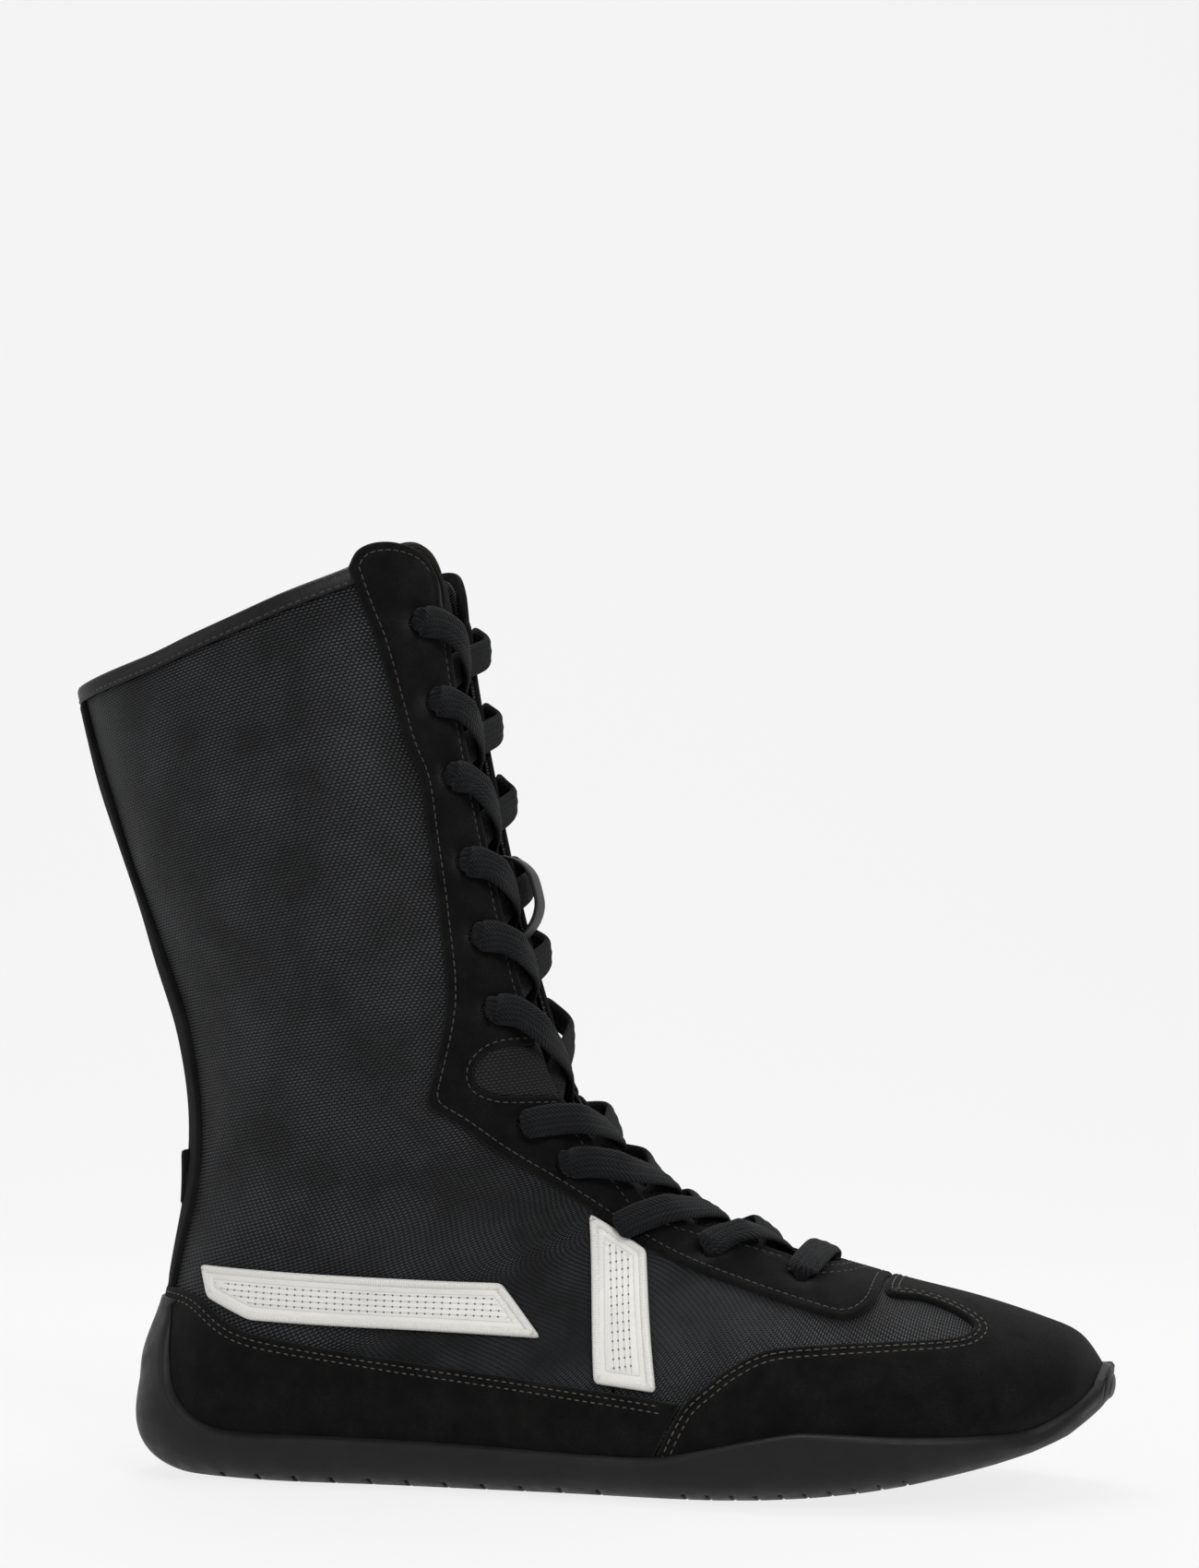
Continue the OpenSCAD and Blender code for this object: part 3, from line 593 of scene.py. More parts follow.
class Nodes:
    """One material, and the wires that its pattern is made from."""

    def __init__(self, name, rough, sheen=0.0, specular=0.5):
        self.material = bpy.data.materials.new(name)
        self.material.use_nodes = True
        self.tree = self.material.node_tree
        self.shader = self.tree.nodes["Principled BSDF"]
        self.shader.inputs["Roughness"].default_value = rough
        self.shader.inputs["Sheen Weight"].default_value = sheen
        self.shader.inputs["Sheen Roughness"].default_value = 0.5
        self.shader.inputs["Specular IOR Level"].default_value = specular

    def attribute(self, name, output):
        node = self.tree.nodes.new("ShaderNodeAttribute")
        node.attribute_name = name
        return Wire(self.tree, node.outputs[output])

    def edge(self):
        return self.attribute("edge", "Fac")

    def cloth(self):
        """The place on the cloth, in millimetres."""
        split = self.tree.nodes.new("ShaderNodeSeparateXYZ")
        plug(self.tree, split.inputs[0], self.attribute("cloth", "Vector"))
        return Wire(self.tree, split.outputs[0]), Wire(self.tree, split.outputs[1])

    def space(self):
        return Wire(self.tree, self.tree.nodes.new("ShaderNodeTexCoord").outputs["Object"])

    def noise(self, size_mm, detail=3.0, rough=0.55):
        """Noise whose grain is about size_mm, in the object's own space."""
        node = self.tree.nodes.new("ShaderNodeTexNoise")
        plug(self.tree, node.inputs["Vector"], self.space())
        node.inputs["Scale"].default_value = 1 / (size_mm * MM)
        node.inputs["Detail"].default_value = detail
        node.inputs["Roughness"].default_value = rough
        return Wire(self.tree, node.outputs["Fac"])

    def mix(self, factor, a, b):
        node = self.tree.nodes.new("ShaderNodeMix")
        node.data_type = "RGBA"
        plug(self.tree, node.inputs["Factor"], factor)
        for socket, value in zip([s for s in node.inputs if s.type == "RGBA"], (a, b)):
            plug(self.tree, socket, value)
        return Wire(self.tree, [s for s in node.outputs if s.type == "RGBA"][0])

    def finish(self, colour, height, depth_mm=0.1, rough=None):
        plug(self.tree, self.shader.inputs["Base Color"], colour)
        if rough is not None:
            plug(self.tree, self.shader.inputs["Roughness"], rough)
        bump = self.tree.nodes.new("ShaderNodeBump")
        bump.inputs["Distance"].default_value = depth_mm * MM
        plug(self.tree, bump.inputs["Height"], height)
        self.tree.links.new(bump.outputs["Normal"], self.shader.inputs["Normal"])
        return self.material


def woven(name, dark, light, pitch_x, pitch_y, rough, depth, specular=0.3):
    """Brick-laid woven cloth, its threads round: a painted highlight on their crowns, painted shade in
    the gaps between them, and broad painted highlight patches.
    """
    n = Nodes(name, rough, 0.0, specular)
    x, y = n.cloth()
    row = y / pitch_y
    odd = abs(row.math("FLOOR")).math("MODULO", 2.0) * 0.5
    across = (x / pitch_x + odd).math("FRACT")
    rise = 1.0 - abs(across * 2.0 - 1.0) ** 3.0
    body = 1.0 - abs(row.math("FRACT") * 2.0 - 1.0) ** 2.0
    height = rise ** 0.5 * body ** 0.5
    fuzz = n.noise(0.35, 2)
    # broad painted highlight patches from 18 mm noise, standing in for light catching the folds
    highlight_patches = n.noise(18).ramp(0.35, 0.68, 0.45, 1.35)
    # tone follows the thread height: the crowns take the light colour as a painted highlight, the gaps
    # the dark colour as painted shade
    tone = height ** 3.2 * highlight_patches * fuzz.ramp(0.3, 0.7, 0.6, 1.2)
    return n.finish(n.mix(tone.math("MINIMUM", 1.0), dark, light), fuzz * 0.12 + height, depth)


def suede(name, dark, light):
    """Short matt nap with soft brushed patches, paler over the last 0.7 mm where its edges roll over."""
    n = Nodes(name, 0.95, 0.05, 0.03)
    nap, brushed, speck = n.noise(0.5, 4, 0.7), n.noise(9, 4, 0.6), n.noise(0.16, 2, 0.6)
    tone = brushed.ramp(0.35, 0.68) * nap.ramp(0.3, 0.72) + speck * 0.25
    tone = tone.math("ADD", n.edge().ramp(0.0, 0.7, 0.35, 0.0), clamp=True)
    return n.finish(n.mix(tone, dark, light), nap + speck, 0.12)


HOLE_PITCH = 2.3      # along a row of stitch holes
HOLE_ROWS = 1.6       # from row to row
BORDER = 2.4          # width of the satin border
SEAM_IN = 3.4         # the seam inside it, from the panel's edge
HOLE_DARK, SEAM_DARK = (0.12, 0.115, 0.11), (0.30, 0.29, 0.27)


def leather(name, base, shade, perforated=False, specular=0.3):
    """Fine-grained leather, with rows of small punched holes where asked."""
    n = Nodes(name, 0.5, 0.0, specular)
    grain = n.tree.nodes.new("ShaderNodeTexVoronoi")
    grain.inputs["Scale"].default_value = 1 / (0.9 * MM)
    plug(n.tree, grain.inputs["Vector"], n.space())
    fine = n.noise(0.5)
    height = fine * 0.4 + Wire(n.tree, grain.outputs["Distance"]) * 0.6
    colour = n.mix(n.noise(12).ramp(0.3, 0.75), base, shade)
    if not perforated:
        return n.finish(colour, height, 0.08, fine.ramp(0.3, 0.7, 0.42, 0.58))
    edge = n.edge()
    x, y = n.cloth()
    row = y / HOLE_ROWS
    off_x = ((x / HOLE_PITCH).math("FRACT") - 0.5) * HOLE_PITCH
    off_y = (row.math("FRACT") - 0.5) * HOLE_ROWS
    field = edge.ramp(SEAM_IN + 0.5, SEAM_IN + 0.6) * abs(row).math("LESS_THAN", 2.0)
    hole = (off_x ** 2.0 + off_y ** 2.0).math("SQRT").ramp(0.18, 0.3, 1.0, 0.0) * field
    dash = abs(off_y).ramp(0.1, 0.22, 1.0, 0.0) * field
    seam = abs(edge - SEAM_IN).ramp(0.08, 0.25, 1.0, 0.0)
    colour = n.mix(dash.math("MAXIMUM", seam) * 0.35, colour, SEAM_DARK)
    return n.finish(n.mix(hole, colour, HOLE_DARK), height - (hole * 3.0 + dash * 0.8), 0.1)


def satin(name, base, shade):
    """Threads laid side by side across a border; cloth x runs along it. The gaps between threads are
    painted shade, their crowns painted lighter.
    """
    n = Nodes(name, 0.38, 0.1, 0.5)
    wave = abs((n.cloth()[0] * (math.pi / 0.42)).math("SINE"))
    # tone follows the thread wave: the shade colour is painted shade in the gaps, the base colour sits
    # on the crowns
    tone = (wave ** 0.6).math("MULTIPLY", n.noise(0.4, 2).ramp(0.3, 0.7, 0.75, 1.1), clamp=True)
    return n.finish(n.mix(tone, shade, base), wave, 0.12)


def rubber(name, dark, light):
    """Matt moulded rubber, patchy and faintly grained."""
    n = Nodes(name, 0.5, 0.0, 0.15)
    fine = n.noise(0.5, 3, 0.6)
    tone = n.noise(16).ramp(0.3, 0.75) * fine.ramp(0.2, 0.8, 0.7, 1.0)
    return n.finish(n.mix(tone, dark, light), fine, 0.03, n.noise(5, 4).ramp(0.3, 0.7, 0.42, 0.58))


def braid(name, dark, light):
    """A flat lace: slanted strands that meet along its middle, with loose fluff; the strand crowns
    painted light as highlight, the grooves between them painted dark as shade.
    """
    n = Nodes(name, 0.85, 0.05, 0.06)
    x, y = n.cloth()
    strand = abs(((x + abs(y) * 0.9) * (math.pi / 1.15)).math("SINE"))
    column = abs((y * (math.pi / 1.5)).math("SINE"))
    fuzz = n.noise(0.3, 3, 0.7)
    height = strand ** 0.7 * (column * 0.5 + 0.5)
    # tone follows strand height: the light colour is a painted highlight on the crowns, the dark a
    # painted shade in the grooves
    tone = height.math("MULTIPLY", fuzz.ramp(0.3, 0.75, 0.45, 1.3), clamp=True)
    return n.finish(n.mix(tone, dark, light), fuzz * 0.9 + height, 0.4)


def plain_cloth(name, dark, light, grain=0.6):
    """Felted or brushed cloth, board and foam."""
    n = Nodes(name, 0.9, 0.04, 0.08)
    fuzz = n.noise(grain, 4, 0.7)
    tone = fuzz.ramp(0.3, 0.7) * n.noise(10).ramp(0.3, 0.7, 0.6, 1.0)
    return n.finish(n.mix(tone, dark, light), fuzz, 0.12)


def thread(name, base, shade):
    n = Nodes(name, 0.6, 0.1, 0.2)
    return n.finish(n.mix(n.noise(0.6, 2).ramp(0.35, 0.65), base, shade), n.noise(0.2, 2), 0.05)


# woven_mesh and notch_mesh: the first colour is painted shade in the thread gaps, the second a painted
# highlight on the thread crowns
MESH = woven("woven_mesh", (0.0006, 0.0006, 0.0008), (0.034, 0.036, 0.040), 1.5, 0.85, 0.5, 0.5, 0.2)
NOTCH_MESH = woven("notch_mesh", (0.001, 0.001, 0.001), (0.012, 0.0125, 0.014), 1.5, 1.0, 0.7, 0.5)
SUEDE = suede("black_suede", (0.0022, 0.0022, 0.0023), (0.0100, 0.0096, 0.0092))
WHITE = leather("white_leather", (0.68, 0.67, 0.64), (0.62, 0.61, 0.58), perforated=True)
# satin_border: the second colour is painted shade between the satin threads
SATIN = satin("satin_border", (0.74, 0.73, 0.70), (0.50, 0.49, 0.46))
RUBBER = rubber("black_rubber", (0.008, 0.008, 0.0085), (0.0125, 0.0125, 0.013))
# black_braid: the light colour is the painted highlight on the strands, the dark the painted shade
# between them
LACE = braid("black_braid", (0.0012, 0.0012, 0.0014), (0.012, 0.013, 0.015))
LINING = plain_cloth("black_lining", (0.004, 0.004, 0.0045), (0.014, 0.014, 0.015))
TONGUE = plain_cloth("tongue_cloth", (0.0035, 0.0035, 0.004), (0.016, 0.016, 0.017), 0.9)
BINDING = leather("binding_leather", (0.0035, 0.0034, 0.0034), (0.007, 0.0068, 0.0066), specular=0.2)
# ribbed_edge: the first colour is painted shade in the gaps, the second a painted highlight on the
# crowns
RIBBED = woven("ribbed_edge", (0.002, 0.0017, 0.0014), (0.024, 0.019, 0.014), 0.9, 0.9, 0.8, 0.3, 0.1)
BOARD = plain_cloth("fibre_board", (0.30, 0.26, 0.19), (0.42, 0.36, 0.27), 0.5)
FOAM = plain_cloth("foam", (0.20, 0.19, 0.17), (0.33, 0.32, 0.28), 0.4)
THREAD = thread("brown_thread", (0.040, 0.034, 0.028), (0.085, 0.075, 0.062))
DARK_THREAD = thread("dark_thread", (0.018, 0.017, 0.016), (0.050, 0.046, 0.042))
AGLET = rubber("aglet_plastic", (0.006, 0.006, 0.006), (0.010, 0.010, 0.010))

# ---- plies: distances from the shell's outer face

FABRIC = (-1.0, 0.0)
STIFFENER = (-2.0, -1.1)
LINING_PLY = (-3.3, -2.1)
OVERLAY = (0.1, 1.5)
TAB = (1.6, 3.4)
RUBBER_IN, RUBBER_OUT = 1.6, 4.4
TONGUE_PLY = (-9.5, -6.6)
THROAT_HALF = 12

COLLAR = curve([(-190, 226.5), (-160, 226.5), (-146, 227.5), (-125, 231.5), (-111, 236), (-97, 241),
                (-84, 246.5), (-66, 254.5), (-62, 259.5), (-55, 261), (-49.5, 256), (-47, 246),
                (-30, 240)])
SOLE_LINE = np.array([(-190, 5), (38, 5), (50, 5.3), (63, 6.3), (76, 8), (89, 10.3), (101, 13),
                      (111, 15.4), (120, 18), (129, 22), (135, 26.5), (150, 38)])
RUBBER_EDGE = curve([(-190, 50), (-126, 50), (-122, 47), (-120.5, 34), (-117, 24), (-108, 17), (-95, 15),
                     (-73, 14.6), (-41, 14), (5, 12.8), (22.5, 13), (34.5, 15), (48, 18), (58, 20),
                     (65.5, 20.6), (91, 20), (108, 20.5), (119, 21.7), (129, 26.5), (134, 31),
                     (137, 36.5), (160, 38)])
EYESTAY_BACK = curve([(-66, 254.5), (-62.5, 243.5), (-58.5, 232), (-52, 207), (-48, 196), (-45.5, 180),
                      (-42, 156), (-40, 133), (-44.5, 108)])
EYESTAY_FRONT = curve([(-44, 105), (-35, 99.5), (-24, 91.5), (-7, 81), (14, 67.5), (33, 59.5), (65, 50),
                       (73, 49.2), (78, 52.5), (79, 58)])
EYESTAY_TOP = curve([(-46, 246), (-47, 254), (-50, 260), (-55, 262), (-60, 261.5), (-64, 259),
                     (-66, 254.5)])
NOTCH = curve([(-12, 122), (-26, 121.5), (-32, 117), (-32, 111.5), (-26.5, 108.5), (-17, 108),
               (-8, 107.7)])
TOE_WING = curve([(21.5, 8), (23, 13), (29.5, 25.5), (36, 31.5), (42.5, 36.5), (52, 41), (66, 42.5),
                  (85, 43.3), (99, 43.8), (103.5, 45), (104, 47), (98, 50.3), (90, 53), (81, 54.5),
                  (79.8, 58.5)])
FOXING_EDGE = curve([(-131, 53), (-115, 52), (-100, 43.8), (-83, 40), (-50, 35.4), (-6, 30.4), (18, 28),
                     (30, 26.5)])
BAND = curve([(-112, 60), (-24, 56.5), (-12, 42.5), (-95, 46), (-109, 51.5), (-112, 60)], 1)
BAR = curve([(-1, 75.5), (15, 65.5), (22, 29.5), (5, 31.2), (-1, 75.5)], 1)
BAND_AXIS = (-110, 53.2), (-18, 49.7)
BAR_AXIS = (7, 70.5), (13.5, 30.4)
TONGUE_TOP = curve([(-23, 257), (-22, 261), (-15, 264), (-6, 263), (5, 258.5), (16, 251.5), (23, 245)])


def sole_line(low, high, lift, which, step=3.0):
    """Along the upper's lowest line, from x = low to x = high."""
    xs = np.linspace(low, high, max(2, int(abs(high - low) / step)))
    zs = np.interp(xs, *SOLE_LINE.T) + lift
    return from_side(np.stack([xs, zs], -1), which)


def throat_line(low, high, which, n=40, half=THROAT_HALF):
    us = np.linspace(low, high, n)
    return np.stack([us, q_at(us, which * half)], -1)


def throat_end(half=THROAT_HALF, n=14):
    """The throat's round front end, from the outer side to the inner side."""
    angles = np.linspace(-90, 90, n) * math.pi / 180
    xs = 54 + half * np.cos(angles)
    ys = half * np.sin(angles)
    ys = np.where(np.abs(ys) < 0.02, 0.02, ys)
    return from_front(np.stack([ys, xs], -1), 0, 11, 14)


END = throat_end()
END_U = float(END[0, 0])


def collar_line(dz, which):
    """Along the collar from the throat to the back."""
    line = from_side(COLLAR + np.array([0, dz]), which)
    line = line[np.abs(line[:, 1]) < 0.999][::-1]
    out = np.abs(line[:, 1]) - np.abs(q_at(line[:, 0], which * THROAT_HALF))
    k = int(np.nonzero(out > 0)[0][0])
    first = line[k - 1] + (line[k] - line[k - 1]) * out[k - 1] / (out[k - 1] - out[k])
    heel = np.array([[back_u(226.5 + dz), which * 1.0]])
    return np.vstack([first, line[k:], heel])


def outside_throat(line, which):
    edge = np.abs(q_at(line[:, 0], which * THROAT_HALF))
    return line[np.abs(line[:, 1]) > edge + 0.004]


SEAM_X = 10


def quarter_outline(which, dz=-1.2, lift=3.4):
    top = collar_line(dz, which)
    back = np.array([[u, which] for u in np.linspace(top[-1, 0], back_u(9), 40)[1:]])
    bottom = sole_line(-124, SEAM_X - 0.2, lift, which)
    seam = from_side([(SEAM_X - 0.2, z) for z in np.linspace(12, 90, 60)], which)
    seam = outside_throat(seam[np.abs(seam[:, 1]) > 0.01], which)
    throat = throat_line(seam[-1, 0], top[0, 0], which, 90)
    return np.vstack([top, back, bottom, seam, throat[1:-1]])


def vamp_outline():
    sides = {}
    for which in (LATERAL, MEDIAL):
        seam = from_side([(SEAM_X + 0.2, z) for z in np.linspace(12, 90, 60)], which)
        sides[which] = outside_throat(seam[np.abs(seam[:, 1]) > 0.01], which)
    bottom = {w: sole_line(SEAM_X + 0.2, 108, 3.4, w) for w in sides}
    front = np.stack([np.linspace(bottom[LATERAL][-1, 0], bottom[MEDIAL][-1, 0], 30),
                      np.linspace(bottom[LATERAL][-1, 1], bottom[MEDIAL][-1, 1], 30)], -1)
    return np.vstack([
        sides[LATERAL][::-1], bottom[LATERAL], front[1:-1], bottom[MEDIAL][::-1], sides[MEDIAL],
        throat_line(sides[MEDIAL][-1, 0], END_U, MEDIAL, 16)[1:], END[::-1][1:-1],
        throat_line(END_U, sides[LATERAL][-1, 0], LATERAL, 16)[:-1]])


def toe_outline():
    wing = {w: from_side(TOE_WING, w) for w in (LATERAL, MEDIAL)}
    bottom = {w: sole_line(22, 133, 3.4, w) for w in wing}
    tip = np.array([[18.9, q] for q in np.linspace(-0.5, 0.5, 9)])
    return np.vstack([wing[LATERAL][::-1], bottom[LATERAL][1:], tip, bottom[MEDIAL][::-1][:-1],
                      wing[MEDIAL][:-1]])


def foxing_outline(which):
    top = from_side(FOXING_EDGE, which)
    top = top[on_tube(*top.T)[:, 0] < 29]
    top[0] = (back_u(53), which)
    rear = from_side(TOE_WING[:19] - np.array([0.8, 0]), which)
    rear = rear[on_tube(*rear.T)[:, 2] < 25.5]
    bottom = sole_line(20, -124, 3.4, which)
    back = np.array([[u, which] for u in np.linspace(back_u(9), back_u(53), 12)[:-1]])
    return np.vstack([top, rear[::-1], bottom, back])


def notch_cut(which):
    line = from_side(NOTCH, which)
    return outside_throat(line, which)


def eyestay_side(which):
    """From the ridge in front, round the back, up and over the top, and down the throat's edge."""
    front = from_side(EYESTAY_FRONT[::-1], which)
    back = from_side(np.vstack([EYESTAY_BACK[::-1], EYESTAY_TOP[::-1][1:]]), which)
    back = outside_throat(back, which)
    notch = notch_cut(which)
    upper = throat_line(back[-1, 0], notch[0, 0], which, 50)
    lower = throat_line(notch[-1, 0], END_U, which, 70)
    return np.vstack([front, back, upper[1:-1], notch, lower[1:]])


def eyestay_outline():
    lateral, medial = eyestay_side(LATERAL), eyestay_side(MEDIAL)
    return np.vstack([lateral, END[1:-1], medial[::-1][:-1]])


def back_strip(half_width, low, high):
    """A strip round the back seam, from height low to high; q runs past 1."""
    side = []
    us = np.linspace(back_u(high), back_u(low), 60)
    for u in us:
        qs = np.linspace(0.7, 1, 200)
        ys = on_tube(np.full(200, u), qs)[:, 1]
        side.append((u, float(np.interp(half_width, ys[::-1], qs[::-1]))))
    side = np.array(side)
    return np.vstack([side, side[::-1] * np.array([1, -1]) + np.array([0, 2])])


def side_outline(points, which):
    """A side panel's outline with rounded corners."""
    corners = np.asarray(points[:-1], float)
    out = []
    for i, c in enumerate(corners):
        a, b = corners[i - 1] - c, corners[(i + 1) % len(corners)] - c
        a, b = unit(a), unit(b)
        start, end = c + 1.2 * a, c + 1.2 * b
        out += [(1 - t) ** 2 * start + 2 * t * (1 - t) * c + t ** 2 * end for t in np.linspace(0, 1, 5)]
    line = np.vstack([out, out[:1]])
    dense = []
    for a, b in zip(line[:-1], line[1:]):
        n = max(1, int(np.linalg.norm(b - a) / 2))
        dense += [a + (b - a) * k / n for k in range(n)]
    return from_side(dense, which)


def stands_for(nodes):
    if nodes:
        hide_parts(*nodes)


def bends(thing, slot, *nodes):
    """The piece crosses the ankle, in place of the named nodes."""
    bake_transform(thing)
    stands_for(nodes)


def rides(thing, body, slot, *nodes):
    """The piece moves with one body, in place of the named nodes."""
    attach(thing, body)
    stands_for(nodes)


# ---- laces

EYELETS = [(1.4, 22), (2.25, 20.5), (3, 19.5), (3.8, 20), (4.5, 20.5), (5.2, 21), (6.4, 21), (7, 19),
           (9.5, 18), (11.5, 18), (12.9, 19.5)]
EYELET_R, EYELET_SIDES = 2.3, 14
LACE_W, LACE_T = 9.0, 2.4
# Heights of the lace: inside the boot, on the eyestay, over its edge, where two runs cross
LACE_UNDER, LACE_OVER, EDGE_LIFT = -4.9, 3.3, 1.7
MID_LOW, MID_HIGH = -3.4, -0.7
TAIL = [(1.5, 27), (1.75, 31), (2.1, 34), (2.7, 34), (3.2, 33)]
TAIL_UNDER, TAIL_W = -5.0, 7.2


def eyelet_holes(which):
    holes = []
    for u, y in EYELETS:
        q = float(q_at(np.array(u), which * y))
        du = np.linalg.norm(on_tube(u + 0.02, q) - on_tube(u - 0.02, q)) / 0.04
        dq = np.linalg.norm(on_tube(u, q + 0.01) - on_tube(u, q - 0.01)) / 0.02
        angles = np.arange(EYELET_SIDES) * 2 * math.pi / EYELET_SIDES
        holes.append(np.stack([u + EYELET_R * np.cos(angles) / du,
                               q + EYELET_R * np.sin(angles) / dq], -1))
    return holes


def lace_place(u, y, h, flip, width):
    """A place on the lace: its point, its flat side's direction, width and thickness."""
    q = float(q_at(np.array(float(u)), y))
    n = normal(u, q)
    return at(np.array(float(u)), np.array(q), h), flip * n, width, LACE_T


def lace_in_hole(n, which, flip):
    u, y = EYELETS[n]
    q = float(q_at(np.array(float(u)), which * y))
    outward = unit(on_tube(u, q + which * 0.02) - on_tube(u, q))
    u, q = np.array(float(u)), np.array(q)
    sizes = ((LACE_OVER + 0.25, 8.2, 2.4), (1.3, 4.4, 2.4), (LACE_UNDER - 0.2, 3.8, 2.2))
    return [(at(u, q, h), flip * outward, width, thick) for h, width, thick in sizes]


def lace_run(n, which, flip, mid):
    """From eyelet n, under its eyestay, across the throat, to eyelet n - 1 opposite."""
    (u0, y0), (u1, y1) = EYELETS[n], EYELETS[n - 1]
    gap = u0 - u1
    edge = THROAT_HALF
    return [
        lace_place(u0 - 0.1 * gap, which * (edge + y0) / 2, LACE_UNDER, flip, 6.4),
        lace_place(u0 - 0.25 * gap, which * edge, LACE_UNDER, flip, LACE_W),
        lace_place((u0 + u1) / 2, which * 0.4, mid, flip, LACE_W),
        lace_place(u1 + 0.25 * gap, -which * edge, LACE_OVER + EDGE_LIFT, flip, LACE_W),
        lace_place(u1 + 0.05 * gap, -which * (edge + y1) / 2, LACE_OVER + 0.5, flip, 9.2)
    ] + lace_in_hole(n - 1, -which, flip)


def lace_half(which):
    last = len(EYELETS) - 1
    out = [lace_place(EYELETS[last][0], which * THROAT_HALF, LACE_OVER, 1, LACE_W)]
    out += lace_in_hole(last, which, 1)
    for n in range(last, 0, -1):
        turn = 1 if (last - n) % 2 == 0 else -1
        mid = MID_HIGH if turn * which > 0 else MID_LOW
        out += lace_run(n, which * turn, -turn, mid)
    return out + [lace_place(u, which * y, TAIL_UNDER, -1, TAIL_W) for u, y in TAIL]


def make_lace():
    places = lace_half(LATERAL)[::-1]
    places += [lace_place(EYELETS[-1][0], 0.01, LACE_OVER, 1, LACE_W)] + lace_half(MEDIAL)
    rows = np.array([np.concatenate([p, n, [w, t]]) for p, n, w, t in places])
    fine = curve(rows, 10)
    band = tube_grid("flat_lace", fine[:, :3], unit(fine[:, 3:6]), fine[:, 6] / 2, fine[:, 7] / 2,
                     LACE, 32, 2.3, ribs=0.09)
    bends(band, "lace_fabric", "lace")


# ---- pieces

SIDES = ((LATERAL, "lateral"), (MEDIAL, "medial"))


def groove(at_edge, depth=0.25, width=0.55):
    """A line pressed in by stitches at a distance from the edge."""
    return lambda edge, u, q: -depth * np.exp(-((edge - at_edge) / width) ** 2)


def make_shell():
    for which, word in SIDES:
        bends(panel("shell_" + word, quarter_outline(which), *FABRIC, MESH, grid=2.4, roll=0.4),
              "mesh_fabric", "quarter_" + word)
    rides(panel("shell_vamp", vamp_outline(), *FABRIC, MESH, grid=2.4, roll=0.4), "foot",
          "mesh_fabric", "vamp")


def sinks(from_z, by, over):
    """A panel's surface sinks by this much over a height below from_z."""
    return lambda edge, u, q: -by * np.clip((from_z - on_tube(u, q)[:, 2]) / over, 0, 1)


SUEDE_ROLL = 0.8      # radius of the suede's cut edges
BACKSTAY = (15, 50.5, 221)       # half width, lower and upper end
HEEL_TAB = (10, 76, 92)


def make_suede():
    holes = eyelet_holes(LATERAL) + eyelet_holes(MEDIAL)
    bends(panel("eyestay_suede", eyestay_outline(), *OVERLAY, SUEDE, holes, 1.8, SUEDE_ROLL,
                groove(2.4), (1.6, 2.4, 3.2)),
          "suede", "eyestay_lateral", "eyestay_medial", "facing_lateral", "facing_medial")
    rides(panel("toe_suede", toe_outline(), *OVERLAY, SUEDE, (), 2.0, SUEDE_ROLL,
                groove(2.2), (1.5, 2.2, 3.0)),
          "foot", "suede", "toe_cap")
    for which, word in SIDES:
        rides(panel("foxing_suede_" + word, foxing_outline(which), *OVERLAY, SUEDE, (), 2.0,
                    SUEDE_ROLL), "foot", "suede", "foxing_" + word)
    bends(panel("backstay_suede", back_strip(*BACKSTAY), *OVERLAY, SUEDE, (), 2.0, SUEDE_ROLL,
                sinks(56, 0.2, 2)), "suede", "backstay")
    bends(panel("heel_tab_suede", back_strip(*HEEL_TAB), *TAB, SUEDE, (), 1.2, SUEDE_ROLL,
                sinks(90, 1.5, 14)), "suede", "heel_tab")
    for which, word in SIDES:
        notch = notch_cut(which)
        mouth = throat_line(notch[-1, 0], notch[0, 0], which, 8)[1:-1]
        bends(panel("notch_mesh_" + word, np.vstack([notch, mouth]), 0.1, 0.9, NOTCH_MESH, (), 1.2, 0.3),
              "mesh_fabric", "flex_mesh_" + word)


def border(name, outline, h, width):
    """A satin-stitched border along the inside of a closed outline."""
    line = turned_left(even(outline, 0.9, closed=True))
    across = np.linspace(0, 1, 7)
    rows = [moved(line, -0.25 + width * a, True) for a in across]
    heights = [h + 0.75 * math.sqrt(max(0, 1 - (2 * a - 1) ** 2)) for a in across]
    top = [at(*r.T, k) for r, k in zip(rows, heights)]
    low = [at(*r.T, h - 0.9) for r in (rows[-1], rows[0])]
    ring = np.stack(top + low, 1)
    size = ring.shape[1]
    p = on_tube(*line.T)
    run = np.concatenate([[0], np.cumsum(np.linalg.norm(np.diff(p, axis=0), axis=1))])
    cloth = np.stack([np.repeat(run, size), np.tile(np.arange(size), len(line))], -1)
    return make_object(name, ring.reshape(-1, 3), swept_faces(len(line), size, True), SATIN,
                       {"cloth": cloth})


def make_white_panels():
    for which, word in SIDES:
        for kind, points, axis in (("band", BAND, BAND_AXIS), ("bar", BAR, BAR_AXIS)):
            outline = side_outline(points, which)
            rides(panel("white_%s_%s" % (kind, word), outline, *OVERLAY, WHITE, (), 1.2, 0.7,
                        groove(SEAM_IN, 0.3, 0.4), (SEAM_IN - 0.5, SEAM_IN, SEAM_IN + 0.5), axis),
                  "foot", "white_leather", "side_%s_%s" % (kind, word))
            rides(border("satin_%s_%s" % (kind, word), outline, OVERLAY[1] - 0.35, BORDER), "foot",
                  "white_leather")


FOLD_DEPTH = 5.2      # of the collar's binding
FOLD_FRONT = -65.5    # where it goes in behind the eyestay


